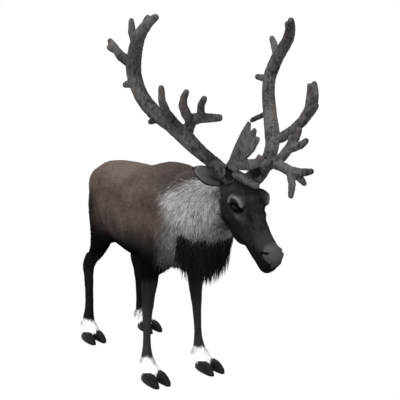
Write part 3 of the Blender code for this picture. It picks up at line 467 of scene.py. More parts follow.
shape = points_of(skin)
for side, sign in SIDES:
    slit, across, out = eye_axes(sign)
    u, v, w, slit_ring, hollow_ring, near = eye_places(shape, sign)
    ball_height = np.sqrt(np.maximum((EYE_RADIUS + LID_GAP) ** 2 - u ** 2 - v ** 2, 0.0))
    rim_height = np.maximum(ball_height, RIM_LEAST) + LID_THICK
    sunk = rim_height + (w - rim_height) * ramp(hollow_ring, 0.62, 1.22)
    behind = ball_height - BEHIND_RIM * ramp(0.97 - slit_ring, 0.0, 0.12)
    sunk = np.where(slit_ring < 0.97, behind, sunk)
    push = (sunk - w) * near * (1.0 - ramp(hollow_ring, 1.12, 1.30))
    push += near * lid_ridge(u, v) * RIDGE_PUSH
    push += near * soft_spot(u, v, *BAG) * BAG_PUSH
    push -= near * soft_spot(u, v, *GROOVE) * GROOVE_PUSH
    push += near * np.exp(-((slit_ring - RIM_ROLL[0]) / RIM_ROLL[1]) ** 2) * RIM_ROLL[2]
    fold = np.exp(-((slit_ring - UPPER_FOLD[0]) / UPPER_FOLD[1]) ** 2)
    push -= near * fold * (v > 0.002) * UPPER_FOLD[2]
    shape += out * push[:, None]
put_points(skin, shape)
print("lids done, slit %.0f mm long" % (2000 * SLIT_LONG))

# %% [markdown]
# The nostril is a deep comma, and its tail runs on as the line of the upper lip down to
# the front of the mouth. A second, finer line marks the mouth along the jaw. Holes cut
# with solids would leave hard edges in soft skin, so paths drawn on the side of the head
# press the skin in instead.
# %% Nostrils and mouth line
# along and up
NOSTRIL = [(0.418, 0.004), (0.409, -0.006), (0.398, -0.018), (0.397, -0.027)]
MOUTH_LINE = [(0.335, -0.058), (0.370, -0.064), (0.410, -0.068), (0.440, -0.068),
              (0.475, -0.072)]
NOSTRIL_WIDTH = 0.0052
NOSTRIL_DEPTH = 0.0150
MOUTH_WIDTH = 0.0030
LIP_WIDTH = 0.0036
LINE_DEPTH = 0.0040
# how far the lip's line lies below the head's own, and its dip in the middle
LIP_LOW = 0.028
LIP_DIP = 1.7
LIP_DIP_HALF = 0.027


def lip_height(points):
    """Height over the dark line that runs from the nostril round the pad to the mouth."""
    s, t, y = head_places(points)
    return t + LIP_LOW + LIP_DIP * np.clip(LIP_DIP_HALF - np.abs(y), 0.0, LIP_DIP_HALF)


def lip_line(points):
    s, t, y = head_places(points)
    line = np.exp(-(lip_height(points) / LIP_WIDTH) ** 2)
    return line * ramp(s, 0.392, 0.400) * ramp(np.abs(y), 0.002, 0.006)


def stroke(points, path, width):
    """1 on a path drawn on the side of the head, fading to 0 away from it."""
    s, t, y = head_places(points)
    nearest = np.full(len(s), 9.0)
    for (s0, t0), (s1, t1) in zip(path, path[1:]):
        length = (s1 - s0) ** 2 + (t1 - t0) ** 2
        share = np.clip(((s - s0) * (s1 - s0) + (t - t0) * (t1 - t0)) / length, 0.0, 1.0)
        away = np.hypot(s - s0 - share * (s1 - s0), t - t0 - share * (t1 - t0))
        nearest = np.minimum(nearest, away)
    return np.exp(-(nearest / width) ** 2)


shape = points_of(skin)
side_way = -np.sign(shape[:, 1:2]) * np.array([[0.0, 1.0, 0.0]])
pit = stroke(shape, NOSTRIL, NOSTRIL_WIDTH) * ramp(np.abs(shape[:, 1]), 0.014, 0.026)
shape += (side_way * 0.80 - ALONG * 0.45 - UP * 0.20) * (pit * NOSTRIL_DEPTH)[:, None]
shape -= normals_of(skin) * (lip_line(shape) * LINE_DEPTH)[:, None]
shape -= normals_of(skin) * (stroke(shape, MOUTH_LINE, MOUTH_WIDTH) * LINE_DEPTH)[:, None]
put_points(skin, shape)
print("nostril comma of", len(NOSTRIL), "points, mouth line of", len(MOUTH_LINE))

# %% [markdown]
# The ears are thin cups below the antlers. The right one stands out sideways and the left
# one is laid back. Remeshing would eat such thin rims, so the solids' cups are divided
# and smoothed on their own, and their roots are sunk into the skin that they join.
# %% Ears join the skin
EAR_ROOT = np.array([0.621, 0.082, 1.110])
EAR_TIP = {"r": np.array([0.605, 0.215, 1.186]), "l": np.array([0.515, 0.185, 1.132])}
EAR_OPENING = {"r": np.array([0.86, -0.10, 0.12]), "l": np.array([0.45, 0.85, 0.05])}
# shares of the way to the tip, and half widths there
EAR_HALF = ((0.00, 0.12, 0.28, 0.46, 0.64, 0.80, 0.92, 1.00),
            (0.020, 0.027, 0.037, 0.042, 0.039, 0.030, 0.017, 0.005))
ROOT_SINKS = 0.010
ears = copy_solids(["ear_r", "ear_l"], "ears")
finish_with(ears, "SUBSURF", levels=2, render_levels=2)
ear_points = points_of(ears)
root_share = np.exp(-np.maximum(np.abs(ear_points[:, 1]) - 0.085, 0.0) / 0.008)
ear_points[:, 1] -= np.sign(ear_points[:, 1]) * root_share * ROOT_SINKS
put_points(ears, ear_points)
bpy.ops.object.select_all(action="DESELECT")
ears.select_set(True)
skin.select_set(True)
bpy.context.view_layer.objects.active = skin
bpy.ops.object.join()
bpy.ops.object.shade_smooth()
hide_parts(*FLESH, "ear_r", "ear_l")
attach(skin, "root")
skin_points = points_of(skin)
print("skin with ears:", len(skin.data.polygons))

# %% [markdown]
# Later steps colour the ears and grow hair on them, so they must know where on an ear a
# place is. Vertex groups know only the skin's own points, and hair roots lie between
# them, so it is worked out from the line from root to tip and from the way the cup opens.
# %% Places on the ears


def ear_places(points):
    """Share of the way to the tip, place across, if in the cup, and if on an ear."""
    part, reach, inner, on_ear = np.zeros((4, len(points)))
    for tag, sign in SIDES:
        pick = points[:, 1] * sign > 0.098
        offset = points[pick] * [1.0, sign, 1.0] - EAR_ROOT
        along = EAR_TIP[tag] - EAR_ROOT
        length = np.linalg.norm(along)
        along = along / length
        opening = EAR_OPENING[tag] - along * float(EAR_OPENING[tag] @ along)
        opening = opening / np.linalg.norm(opening)
        share = offset @ along / length
        half = np.interp(share, *EAR_HALF)
        aside = offset @ np.cross(along, opening) / half
        cup_floor = -0.006 - 0.30 * half * np.sqrt(np.clip(1.0 - aside ** 2, 0.0, 1.0))
        part[pick], reach[pick] = share, aside
        inner[pick] = offset @ opening > cup_floor
        on_ear[pick] = between(share, 0.02, 1.2) & (np.abs(aside) < 1.35)
    on_ear *= between(points[:, 0], 0.47, 0.68) & between(points[:, 2], 1.03, 1.25)
    return part, reach, inner, on_ear


print("points on the ears:", int(ear_places(skin_points)[3].sum()))

# %% [markdown]
# Grey-brown flanks go dark on the legs and head, and painted shade darkens the belly. The
# neck is pale grey, darkening downwards with painted shade, the beard black, and a white
# band sits over each hoof. Painting by hand would have to be done twice, on skin and on
# hair. So the markings and the painted shade are a function of the place on the body,
# which both can ask.
# %% Tones of the coat
# heights, and how far forward the neck's hair ends there
HEAD_BORDER = ((0.780, 0.838, 0.900, 0.963, 1.060, 1.125),
               (0.535, 0.542, 0.574, 0.606, 0.612, 0.604))


def head_share(points, fine=0.5):
    """1 on the head, 0 on the neck; the border runs from behind the ears to the throat."""
    start = points[:, 0] - np.interp(points[:, 2], *HEAD_BORDER) + 0.030 * (fine - 0.5)
    return ramp(start, -0.045, 0.012)


BROWN = np.array([0.074, 0.058, 0.050])
BACK = np.array([0.104, 0.082, 0.071])
WITHERS = np.array([0.055, 0.045, 0.040])
DARK_BROWN = np.array([0.0055, 0.0046, 0.0042])
LEG = np.array([0.0130, 0.0115, 0.0105])
SHANK = np.array([0.026, 0.024, 0.022])
HEAD_TONE = np.array([0.0125, 0.0114, 0.0107])
JAW = np.array([0.0060, 0.0056, 0.0054])
PALE = np.array([0.360, 0.345, 0.334])
# the pale ruff's tone lower down, darkened as painted shade of a light from above
PALE_IN_PAINTED_SHADE = np.array([0.150, 0.148, 0.144])
CHEST = np.array([0.085, 0.084, 0.082])
WHITE = np.array([0.95, 0.94, 0.93])
BEARD_BLACK = np.array([0.0075, 0.0072, 0.0070])
STREAK = np.array([0.050, 0.046, 0.043])
LID_PALE = np.array([0.048, 0.045, 0.043])
NOSE_PALE = np.array([0.049, 0.048, 0.047])
EAR_CUP = np.array([0.105, 0.102, 0.096])
EAR_RIM = np.array([0.008, 0.007, 0.007])


def blotch(points, size, seed):
    """Soft random values between 0 and 1 that change over the given size."""
    shift = Vector((seed * 7.3, seed * 1.7, seed * 3.1))
    return np.array([0.5 + 0.5 * noise.noise(Vector(p) / size + shift) for p in points])


def mix(first, second, share):
    return first + (second - first) * share[:, None]


def spread(tone, points):
    return np.tile(tone, (len(points), 1))


print("white is %.0f times as light as the beard" % (WHITE[0] / BEARD_BLACK[0]))

# %% [markdown]
# On the trunk each marking is a soft ramp along a height or a length: a paler back above.
# The dark belly below is painted shade. Noise moves the borders, because a real coat has
# no straight ones.
# %% Markings of the trunk and the legs


def body_tone(points, wave, fine):
    """Flanks, back, belly and legs; the dark belly and underside are painted shade."""
    x, y, z = points.T
    ragged = wave - 0.5
    front = x > -0.3
    grain = blotch(points * [0.35, 1.0, 0.8], 0.012, 7.0)
    colour = spread(BROWN, points) * ((0.62 + 0.76 * wave) * (0.50 + 1.00 * grain))[:, None]
    colour = mix(colour, BACK, ramp(z, 0.97, 1.07) * ramp(-x, 0.06, 0.30) * (0.5 + 0.5 * fine))
    hump = np.exp(-((x - 0.11) / 0.15) ** 2) * ramp(z + 0.03 * ragged, 0.99, 1.09)
    colour = mix(colour, WITHERS, hump * 0.9)
    # painted shade: the belly darkens downwards
    belly = 1.0 - ramp(z + 0.06 * ragged, 0.62, 0.88)
    colour = mix(colour, DARK_BROWN, belly * 0.92)
    shoulder = np.exp(-((x - 0.10) / 0.12) ** 2) * (1.0 - ramp(z + 0.05 * ragged, 0.66, 0.84))
    colour = mix(colour, DARK_BROWN, shoulder * 0.7)
    thigh = (1.0 - ramp(x, -0.72, -0.46)) * (1.0 - ramp(z + 0.05 * ragged, 0.76, 1.02))
    colour = mix(colour, DARK_BROWN, thigh * 0.9)
    legs = 1.0 - ramp(z + 0.04 * ragged, 0.50, 0.68)
    colour = mix(colour, LEG * 0.6, legs)
    colour = mix(colour, LEG * 1.3, legs * front)
    # painted shade along the underside behind the forelegs
    underside_shade = (1.0 - ramp(z, 0.640, 0.740)) * ramp(z, 0.50, 0.56) * (x < 0.22)
    colour = mix(colour, JAW * 0.5, underside_shade)
    return mix(colour, SHANK, (1.0 - ramp(z, 0.30, 0.42)) * front * (0.6 + 0.4 * fine))

# %% [markdown]
# The long pale hair of the neck parts into locks with dark gaps between them. Round noise
# would only make spots, so the noise is stretched downwards, and its thin bands are streaks.
# %% Markings of the neck
# lengths, and how high the beard reaches there
BEARD_TOP = ((0.36, 0.44, 0.56), (0.808, 0.776, 0.768))


def neck_tone(points, colour, wave, fine):
    """The pale ruff with its dark streaks and painted shade lower down, the dark nape above it and
    the beard below.
    """
    x, y, z = points.T
    flow = x - 5.0 * np.maximum(z - 0.97, 0.0) ** 2
    drawn = np.stack([flow, y, z * 0.20], axis=1)
    rag = blotch(drawn, 0.016, 4.0) - 0.5
    bulge = 0.10 * ramp(z, 0.72, 0.90) * (1.0 - ramp(z, 0.90, 1.04))
    start = x + 0.06 * (wave - 0.5) + 0.07 * rag - bulge
    ruff = ramp(start, 0.115, 0.245) * ramp(z, 0.60, 0.66)
    nape_line = 0.985 + 0.42 * np.clip(x - 0.18, 0.0, 0.30) + 0.05 * rag + 0.02 * (fine - 0.5)
    ruff = ruff * (1.0 - ramp(z - nape_line, 0.0, 0.045))
    # painted shade: the pale ruff darkens downwards, as under a light from above, towards the
    # chest's tone
    pale = mix(spread(PALE, points), PALE_IN_PAINTED_SHADE, 1.0 - ramp(z + 0.05 * rag, 0.80, 0.98))
    pale = mix(pale, CHEST, 1.0 - ramp(z + 0.05 * rag, 0.70, 0.80))
    pale = pale * (0.72 + 0.56 * blotch(drawn, 0.012, 8.0))[:, None]
    colour = mix(colour, WITHERS, ramp(x, 0.08, 0.20) * ramp(z, 0.94, 1.03))
    colour = mix(colour, pale, ruff)
    broad = blotch(drawn, 0.026, 6.0)
    thin = blotch(drawn, 0.0070, 3.0)
    gap = ramp(0.5 * np.abs(broad - 0.5) ** 0.5 - 0.10 * thin, 0.030, 0.000)
    streak = gap + 0.6 * ramp(thin, 0.64, 0.76)
    colour = mix(colour, STREAK, np.clip(streak, 0.0, 1.0) * ruff * 0.8)
    top_line = np.interp(x, *BEARD_TOP) + 0.04 * rag
    beard = ramp(x + 0.03 * rag, 0.338, 0.352) * (1.0 - ramp(z - top_line, -0.006, 0.006))
    return mix(colour, BEARD_BLACK, beard * (z > 0.55))

# %% [markdown]
# The face is grey-brown with a black jaw and a pale nose. Over each eye the crest of the
# ridge is pale, partly a painted highlight, the bag below it is pale, and the dark hollow
# round the eye is partly a painted shadow of the upper lid. Marks that were drawn apart from
# the sculpted forms would slip off them, so lids, bag, groove, nostril and lip ask the same
# functions that moved the skin there.
# %% Markings of the face


def pedicle_share(points):
    """1 on the bare knob under each antler."""
    s, t, y = head_places(points)
    away = ((s - 0.008) / 0.036) ** 2 + ((np.abs(y) - 0.074) / 0.036) ** 2
    return np.exp(-away ** 2) * ramp(t, 0.040, 0.055)


# lengths along the head, and how high the black of the jaw reaches there
JAW_EDGE = ((0.10, 0.23, 0.29, 0.35, 0.385), (-0.135, -0.108, -0.083, -0.050, -0.026))


def face_tone(points, fine):
    """Grey-brown face, black jaw, pale nose, lids and bag, dark hollow round the eye; the ridge's
    pale crest is partly painted highlight, and the hollow's dark is partly painted shadow of the
    upper lid.
    """
    s, t, side = head_places(points)
    out = np.abs(side)
    grain = blotch(points, 0.013, 11.0)
    tone = spread(HEAD_TONE, points) * ((0.60 + 0.80 * fine) * (0.55 + 0.90 * grain))[:, None]
    behind = (1.0 - ramp(s, 0.03, 0.11)) * ramp(t, -0.13, -0.02)
    tone = mix(tone, HEAD_TONE * 2.2, behind * (0.5 + 0.5 * fine))
    cheek = np.exp(-((s - 0.20) / 0.06) ** 2 - ((t + 0.10) / 0.030) ** 2)
    tone = mix(tone, JAW, cheek * 0.75)
    muzzle = np.exp(-((s - 0.345) / 0.034) ** 2) * ramp(t, -0.050, -0.005)
    tone = mix(tone, HEAD_TONE * 1.6, muzzle)
    edge = np.interp(s, *JAW_EDGE) + 0.012 * (fine - 0.5)
    tone = mix(tone, JAW, (1.0 - ramp(t - edge, -0.020, 0.012)) * 0.9)
    low = lip_height(points)
    tone = mix(tone, JAW, ramp(s, 0.375, 0.395) * (1.0 - ramp(low, -0.004, 0.002)))
    nose = ramp(s + 0.5 * t + 0.010 * (fine - 0.5), 0.366, 0.402) * ramp(low, 0.001, 0.005)
    tone = mix(tone, NOSE_PALE, nose * (0.70 + 0.30 * fine))
    knob = np.exp(-((s - 0.152) / 0.016) ** 2 - ((out - 0.010) / 0.012) ** 2)
    tone = mix(tone, LID_PALE * 0.6, knob * ramp(t, 0.03, 0.045) * 0.8)
    chin = np.exp(-((s - 0.446) / 0.016) ** 2 - ((t + 0.104) / 0.010) ** 2 - (out / 0.024) ** 2)
    tone = mix(tone, NOSE_PALE * 1.1, chin)
    tone = mix(tone, JAW * 0.2, lip_line(points) * 0.95)
    for path, width in ((NOSTRIL, 0.0058), (MOUTH_LINE, 0.0034)):
        tone = mix(tone, JAW * 0.2, stroke(points, path, width) * ramp(out, 0.010, 0.020) * 0.95)
    tone = mix(tone, JAW, pedicle_share(points))
    for tag, sign in SIDES:
        u, v, w, slit_ring, hollow_ring, near = eye_places(points, sign)
        near = near.astype(float)
        # pale crest of the ridge over the eye: partly pale hair, partly a painted highlight on the
        # bulge
        tone = mix(tone, LID_PALE * 2.4, near * lid_ridge(u, v) ** 4.0 * 0.9)
        tone = mix(tone, LID_PALE * 0.8, near * soft_spot(u, v, *BAG) * 0.95)
        # dark in the hollow round the eye: partly dark skin, partly a painted shadow of the upper
        # lid
        tone = mix(tone, JAW * 0.4, near * (1.0 - ramp(hollow_ring, 0.92, 1.08)))
        tone = mix(tone, JAW * 0.5, near * soft_spot(u, v, *GROOVE) * 0.9)
    return tone

# %% [markdown]
# The ears are dark outside, with a pale cup inside a thin dark rim, and painted shade darkens
# the cup towards its root and along its fold. The white bands sit right over the hooves.
# Both are laid over the other markings, and then one function knows the colour of every
# place.
# %% All markings together


def ear_tone(points, fine):
    """The colour of the ears, and 1 where there is an ear."""
    part, reach, in_cup, on_ear = ear_places(points)
    cup = (1.0 - ramp(np.abs(reach), 0.78, 0.90)) * (1.0 - ramp(part, 0.91, 0.98))
    # painted shade: the cup darkens towards its deep root, with random variation
    inner = EAR_CUP * (0.45 + 0.75 * fine * ramp(part, 0.15, 0.75))[:, None]
    # painted shade along the fold near the root of the cup
    fold = np.exp(-((reach + 0.12) / 0.16) ** 2) * (1.0 - ramp(part, 0.25, 0.60))
    inner = mix(inner, EAR_RIM, fold * 0.8)
    inner = mix(spread(HEAD_TONE, points), inner, in_cup)
    return mix(spread(EAR_RIM, points), inner, cup), on_ear


def coat_colour(points):
    x, y, z = points.T
    wave = blotch(points, 0.10, 1.0)
    fine = blotch(points, 0.030, 2.0)
    colour = neck_tone(points, body_tone(points, wave, fine), wave, fine)
    colour = mix(colour, face_tone(points, fine), head_share(points, fine))
    colour = mix(colour, *ear_tone(points, fine))
    band = 1.0 - ramp(z + 0.04 * (fine - 0.5), 0.082, 0.118)
    band = ramp(z + 0.008 * (fine - 0.5), 0.036, 0.044) * band
    colour = mix(colour, WHITE, band * (z < 0.2))
    return np.clip(colour, 0.0, 1.0)


def paint_points(thing, colours, title="coat_tone"):
    layer = thing.data.attributes.new(title, "FLOAT_COLOR", "POINT")
    rgba = np.concatenate([colours, np.ones((len(colours), 1))], axis=1)
    layer.data.foreach_set("color", rgba.astype(np.float32).ravel())


paint_points(skin, coat_colour(skin_points))
print("painted", len(skin_points), "points")

# %% [markdown]
# Hair and velvet-worn bone are dull and speckled. Images could give the speckle, but they
# blur close up. Here the painted tone is multiplied by noise in object space, and the same
# noise gives a fine relief. Hair gets no gloss, because a white sky in it would turn
# black hair grey.
# %% Material with a painted tone


def painted_material(title, attribute, roughness, gloss, noise_scale, detail, levels, relief,
                     stretch=1.0):
    """levels: darkest and lightest share of the tone; relief: strength and height."""
    material = bpy.data.materials.new(title)
    material.use_nodes = True
    tree = material.node_tree
    shader = tree.nodes["Principled BSDF"]
    shader.inputs["Roughness"].default_value = roughness
    shader.inputs["Specular IOR Level"].default_value = gloss
    tone = tree.nodes.new("ShaderNodeAttribute")
    tone.attribute_name = attribute
    place = tree.nodes.new("ShaderNodeTexCoord")
    mapping = tree.nodes.new("ShaderNodeMapping")
    mapping.inputs["Scale"].default_value = (1.0, 1.0, stretch)
    grain = tree.nodes.new("ShaderNodeTexNoise")
    grain.inputs["Scale"].default_value = noise_scale
    grain.inputs["Detail"].default_value = detail
    share = tree.nodes.new("ShaderNodeMapRange")
    share.inputs["From Min"].default_value = 0.3
    share.inputs["From Max"].default_value = 0.7
    share.inputs["To Min"].default_value = levels[0]
    share.inputs["To Max"].default_value = levels[1]
    blend = tree.nodes.new("ShaderNodeVectorMath")
    blend.operation = "SCALE"
    bump = tree.nodes.new("ShaderNodeBump")
    bump.inputs["Strength"].default_value = relief[0]
    bump.inputs["Distance"].default_value = relief[1]
    link = tree.links.new
    link(place.outputs["Object"], mapping.inputs["Vector"])
    link(mapping.outputs["Vector"], grain.inputs["Vector"])
    link(grain.outputs["Fac"], share.inputs["Value"])
    link(tone.outputs["Color"], blend.inputs[0])
    link(share.outputs["Result"], blend.inputs["Scale"])
    link(blend.outputs["Vector"], shader.inputs["Base Color"])
    link(grain.outputs["Fac"], bump.inputs["Height"])
    link(bump.outputs["Normal"], shader.inputs["Normal"])
    return material


HAIR_LEVELS = (0.72, 1.22)
skin_material = painted_material("skin with down", "coat_tone", 0.85, 0.0, 420.0, 4.0,
                                 HAIR_LEVELS, (0.5, 0.002))
tuft_material = painted_material("hair", "coat_tone", 0.75, 0.0, 160.0, 4.0,
                                 HAIR_LEVELS, (0.2, 0.002))
skin.data.materials.append(skin_material)
print("materials:", skin_material.name, "and", tuft_material.name)

# %% [markdown]
# Tufts could grow from the skin itself, but a copy with a tenth of its faces has the same
# shape and is quicker. It is unwrapped once, and every tuft keeps the place of its root on
# that unwrap as a patch three thousandths across, so that the coat can be baked later
# without one tuft's colour running into another's.
# %% A light copy to grow from
SOIL_TRIANGLES = 26000.0
soil = skin.copy()
soil.data = skin.data.copy()
bpy.context.scene.collection.objects.link(soil)
finish_with(soil, "DECIMATE", ratio=SOIL_TRIANGLES / len(soil.data.polygons))
make_active(soil)
soil.data.uv_layers.new(name="soil")
bpy.ops.object.mode_set(mode="EDIT")
bpy.ops.mesh.select_all(action="SELECT")
bpy.ops.uv.smart_project(angle_limit=math.radians(66.0), island_margin=0.002)
bpy.ops.object.mode_set(mode="OBJECT")
soil.data.calc_loop_triangles()
corners = np.empty(len(soil.data.loop_triangles) * 3, dtype=np.int64)
soil.data.loop_triangles.foreach_get("vertices", corners)
loops = np.empty(len(corners), dtype=np.int64)
soil.data.loop_triangles.foreach_get("loops", loops)
corners = corners.reshape(-1, 3)
loops = loops.reshape(-1, 3)
unwrap = np.empty(len(soil.data.loops) * 2)
soil.data.uv_layers["soil"].data.foreach_get("uv", unwrap)
unwrap = unwrap.reshape(-1, 2)
soil_points = points_of(soil)
soil_normals = normals_of(soil)
bpy.data.objects.remove(soil, do_unlink=True)
triangle = soil_points[corners]
face_size = 0.5 * np.linalg.norm(
    np.cross(triangle[:, 1] - triangle[:, 0], triangle[:, 2] - triangle[:, 0]), axis=1)
face_middle = triangle.mean(axis=1)
print("growing surface: %.2f m2" % face_size.sum())

# %% [markdown]
# The coat lies the way water would run off it: back along the trunk, down the legs and
# the neck, and from the nose up over the face. It could be combed by hand, but a comb's
# strokes aren't kept in a script, so the lie is again a function of place.
# %% The lie of the coat


def coat_lie(points, normals):
    x, y, z = points.T

    def toward(lie, way, share):
        return mix(lie, spread(way, points), share)

    lie = spread([-1.0, 0.0, -0.38], points)
    lie = toward(lie, [-1.0, 0.0, -0.05], ramp(z, 1.02, 1.08))
    lie = toward(lie, [-0.75, 0.0, -0.65], 1.0 - ramp(z, 0.60, 0.85))
    shoulder = np.exp(-((x - 0.10) / 0.16) ** 2) * (1.0 - ramp(z, 0.85, 1.05))
    lie = toward(lie, [-0.45, 0.0, -0.90], shoulder)
    lie = toward(lie, [-0.55, 0.0, -0.80], ramp(x, 0.14, 0.24))
    lie = toward(lie, [-0.22, 0.0, -1.0], ramp(x, 0.26, 0.42))
    lie = toward(lie, [-0.90, 0.0, -0.20], ramp(x, 0.10, 0.20) * ramp(z - 0.10 * x, 1.02, 1.05))
    lie = toward(lie, [-0.12, 0.0, -1.0], 1.0 - ramp(z, 0.44, 0.62))
    lie = toward(lie, [-0.25, 0.0, -1.0], (1.0 - ramp(x, -0.88, -0.78)) * (z > 0.62))
    lie = toward(lie, -ALONG - UP * 0.15, head_share(points))
    on_ear = ear_places(points)[3]
    for tag, sign in SIDES:
        ear_way = (EAR_TIP[tag] - EAR_ROOT) * [1.0, sign, 1.0]
        lie = toward(lie, ear_way / np.linalg.norm(ear_way), on_ear * (y * sign > 0.0))
    lie = lie - normals * np.sum(lie * normals, axis=1)[:, None]
    length = np.linalg.norm(lie, axis=1)
    return lie / np.maximum(length, 1e-6)[:, None]


on_back = np.array([[0.0, 0.0, 1.1]])
print("lie on the back:", coat_lie(on_back, np.array([[0.0, 0.0, 1.0]]))[0].round(2))

# %% [markdown]
# Hairs stand about evenly over the skin. Points of a particle system would do that, but
# its hair doesn't survive the export, so roots are drawn at random on the light copy, with
# larger faces drawn more often.
# %% Sowing roots


def sow(weight, count):
    """Random roots, spread by area times weight."""
    share = face_size * weight
    share = share / share.sum()
    face = dice.choice(len(share), count, p=share)
    a = np.sqrt(dice.random(count))
    b = dice.random(count)
    bary = np.stack([1.0 - a, a * (1.0 - b), a * b], axis=1)
    place = np.einsum("ij,ijk->ik", bary, triangle[face])
    normal = np.einsum("ij,ijk->ik", bary, soil_normals[corners[face]])
    normal /= np.linalg.norm(normal, axis=1)[:, None]
    spot = np.einsum("ij,ijk->ik", bary, unwrap[loops[face]])
    return place, normal, spot

# %% [markdown]
# One tuft is a thin three-sided spike that leaves the skin at a slant, and a long one
# bends and hangs. One made by hand and copied would look the same everywhere, so thousands
# are worked out at once as arrays of points, each with its own length, width and turn.
# A tuft takes the colour of a place a little beside its root, which speckles the coat.
# %% Growing tufts
SUNK = 0.0012
SPECKLE = 0.30
TAPER = 0.72
SWIRL_SIZE = 0.05
made_tufts = []


def spike_faces(steps):
    faces = []
    for k in range(steps - 1):
        for m in range(3):
            low, after = 3 * k + m, 3 * k + (m + 1) % 3
            faces += [(low, after, after + 3), (low, after + 3, low + 3)]
    last = 3 * (steps - 1)
    faces += [(last + m, last + (m + 1) % 3, last + 3) for m in range(3)]
    return np.array(faces)


def grow(title, roots, length, width, rise, droop, steps, wander=0.20, tone=None, shade=0.40):
    """Spikes of three sides in a few steps, each ending in a point."""
    place, normal, spot = roots
    count = len(place)
    lie = coat_lie(place, normal)
    swirl = blotch(place, SWIRL_SIZE, 5.0) - 0.5
    turn = swirl * wander * 3.0 + dice.normal(0.0, wander * 0.5, count)
    way = lie * np.cos(turn)[:, None] + np.cross(normal, lie) * np.sin(turn)[:, None]
    across = np.cross(normal, way)
    size = length * (0.72 + 0.56 * dice.random(count))
    half_width = 0.5 * width * (0.75 + 0.5 * dice.random(count))
    slant = np.clip(rise + dice.normal(0.0, 0.22 * rise, count), 0.03, 1.2)
    rings = []
    spine = place - normal * SUNK
    for k in range(steps):
        part = k / steps
        half = half_width * (1.0 - TAPER * part ** 1.3)
        rings.append(np.stack([spine - across * half[:, None], spine + across * half[:, None],
                               spine + normal * (half * 0.45)[:, None]], axis=1))
        angle = slant * (1.0 - 0.9 * part)
        step = way * np.cos(angle)[:, None] + normal * np.sin(angle)[:, None]
        step = step + np.array([0.0, 0.0, -1.0]) * droop * (k + 1) / steps
        step /= np.linalg.norm(step, axis=1)[:, None]
        spine = spine + step * (size / steps)[:, None]
    points = np.concatenate(rings + [spine[:, None, :]], axis=1)
    near = place + dice.normal(0.0, 1.0, (count, 3)) * np.mean(length) * SPECKLE
    tone = coat_colour(near) if tone is None else spread(tone, place)
    tone = tone * (1.0 - shade / 2.0 + shade * dice.random(count))[:, None]
    made_tufts.append(dict(title=title, points=points, faces=spike_faces(steps), tone=tone,
                           spot=spot, normal=normal))
    print(title, count, "tufts of", 6 * steps - 3, "triangles")

# %% [markdown]
# The tufts are joined into a few large meshes. Their shading normals lean towards the
# skin's own, so that light rolls over the coat and not over every spike, and each one
# carries a small patch of the skin's unwrap for its colour.
# %% Planting tufts
NORMAL_SHARE = 0.72
MOST_TRIANGLES = 190000
# tone at the root and at the tip
ROOT_SHADE, TIP_SHADE = 0.80, 1.12
BAKE_PATCH = np.array([(-0.0015, -0.0015), (0.0015, -0.0015), (0.0, 0.0015)])


def soft_normals(here, faces, skin_normal):
    """Spike normals mixed with the normal of the skin at the root."""
    per = here.shape[1]
    own = np.zeros_like(here)
    for a, b, c in faces:
        flat = np.cross(here[:, b] - here[:, a], here[:, c] - here[:, a])
        for corner in (a, b, c):
            own[:, corner] += flat
    own /= np.maximum(np.linalg.norm(own, axis=2), 1e-12)[:, :, None]
    below = np.repeat(skin_normal[:, None], per, axis=1)
    soft = own * (1.0 - NORMAL_SHARE) + below * NORMAL_SHARE
    soft /= np.linalg.norm(soft, axis=2)[:, :, None]
    return soft.reshape(-1, 3)


def plant(bundle):
    """Turns grown tufts into meshes under the limit of triangles."""
    points, faces = bundle["points"], bundle["faces"]
    each = MOST_TRIANGLES // len(faces)
    order = np.argsort(bundle["spot"][:, 0])
    for number, start in enumerate(range(0, len(points), each)):
        pick = order[start:start + each]
        here = points[pick]
        per = here.shape[1]
        corner = (faces[None] + (np.arange(len(pick)) * per)[:, None, None]).reshape(-1, 3)
        mesh = bpy.data.meshes.new("%s_%d" % (bundle["title"], number))
        mesh.vertices.add(len(pick) * per)
        mesh.vertices.foreach_set("co", here.reshape(-1).astype(np.float32))
        mesh.loops.add(corner.size)
        mesh.loops.foreach_set("vertex_index", corner.reshape(-1).astype(np.int32))
        mesh.polygons.add(len(corner))
        mesh.polygons.foreach_set("loop_start", (np.arange(len(corner)) * 3).astype(np.int32))
        mesh.polygons.foreach_set("use_smooth", np.ones(len(corner), dtype=bool))
        mesh.update(calc_edges=True)
        normals = soft_normals(here, faces, bundle["normal"][pick])
        mesh.normals_split_custom_set_from_vertices(normals)
        tuft = bpy.data.objects.new(mesh.name, mesh)
        bpy.context.scene.collection.objects.link(tuft)
        shade = np.repeat(bundle["tone"][pick][:, None], per, axis=1)
        fade = np.linspace(ROOT_SHADE, TIP_SHADE, per)[None, :, None]
        paint_points(tuft, (shade * fade).reshape(-1, 3))
        corner_uv = np.repeat(bundle["spot"][pick], len(faces) * 3, axis=0)
        corner_uv = corner_uv + np.tile(BAKE_PATCH, (len(corner), 1))
        layer = mesh.uv_layers.new(name="OFBake")
        layer.data.foreach_set("uv", corner_uv.astype(np.float32).ravel())
        mesh.materials.append(tuft_material)
        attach(tuft, "root")
        print("planted", mesh.name, len(corner))

# %% [markdown]
# A real coat is shortest on the face and the ears, a finger's breadth long on the legs and
# two on the trunk, and a white fringe hangs over each hoof. One length everywhere would
# look like a toy. Short hair lies flat, so straight spikes of three faces are enough, and
# the numbers can be high. None grows round the eyes, in the nostrils or on the pedicles.
# %% Where the short coat grows
s, t, y = head_places(face_middle)
fx, fy, fz = face_middle.T
amount = 1.0
wider = 1.0
ear_zone = ear_places(face_middle)[3]
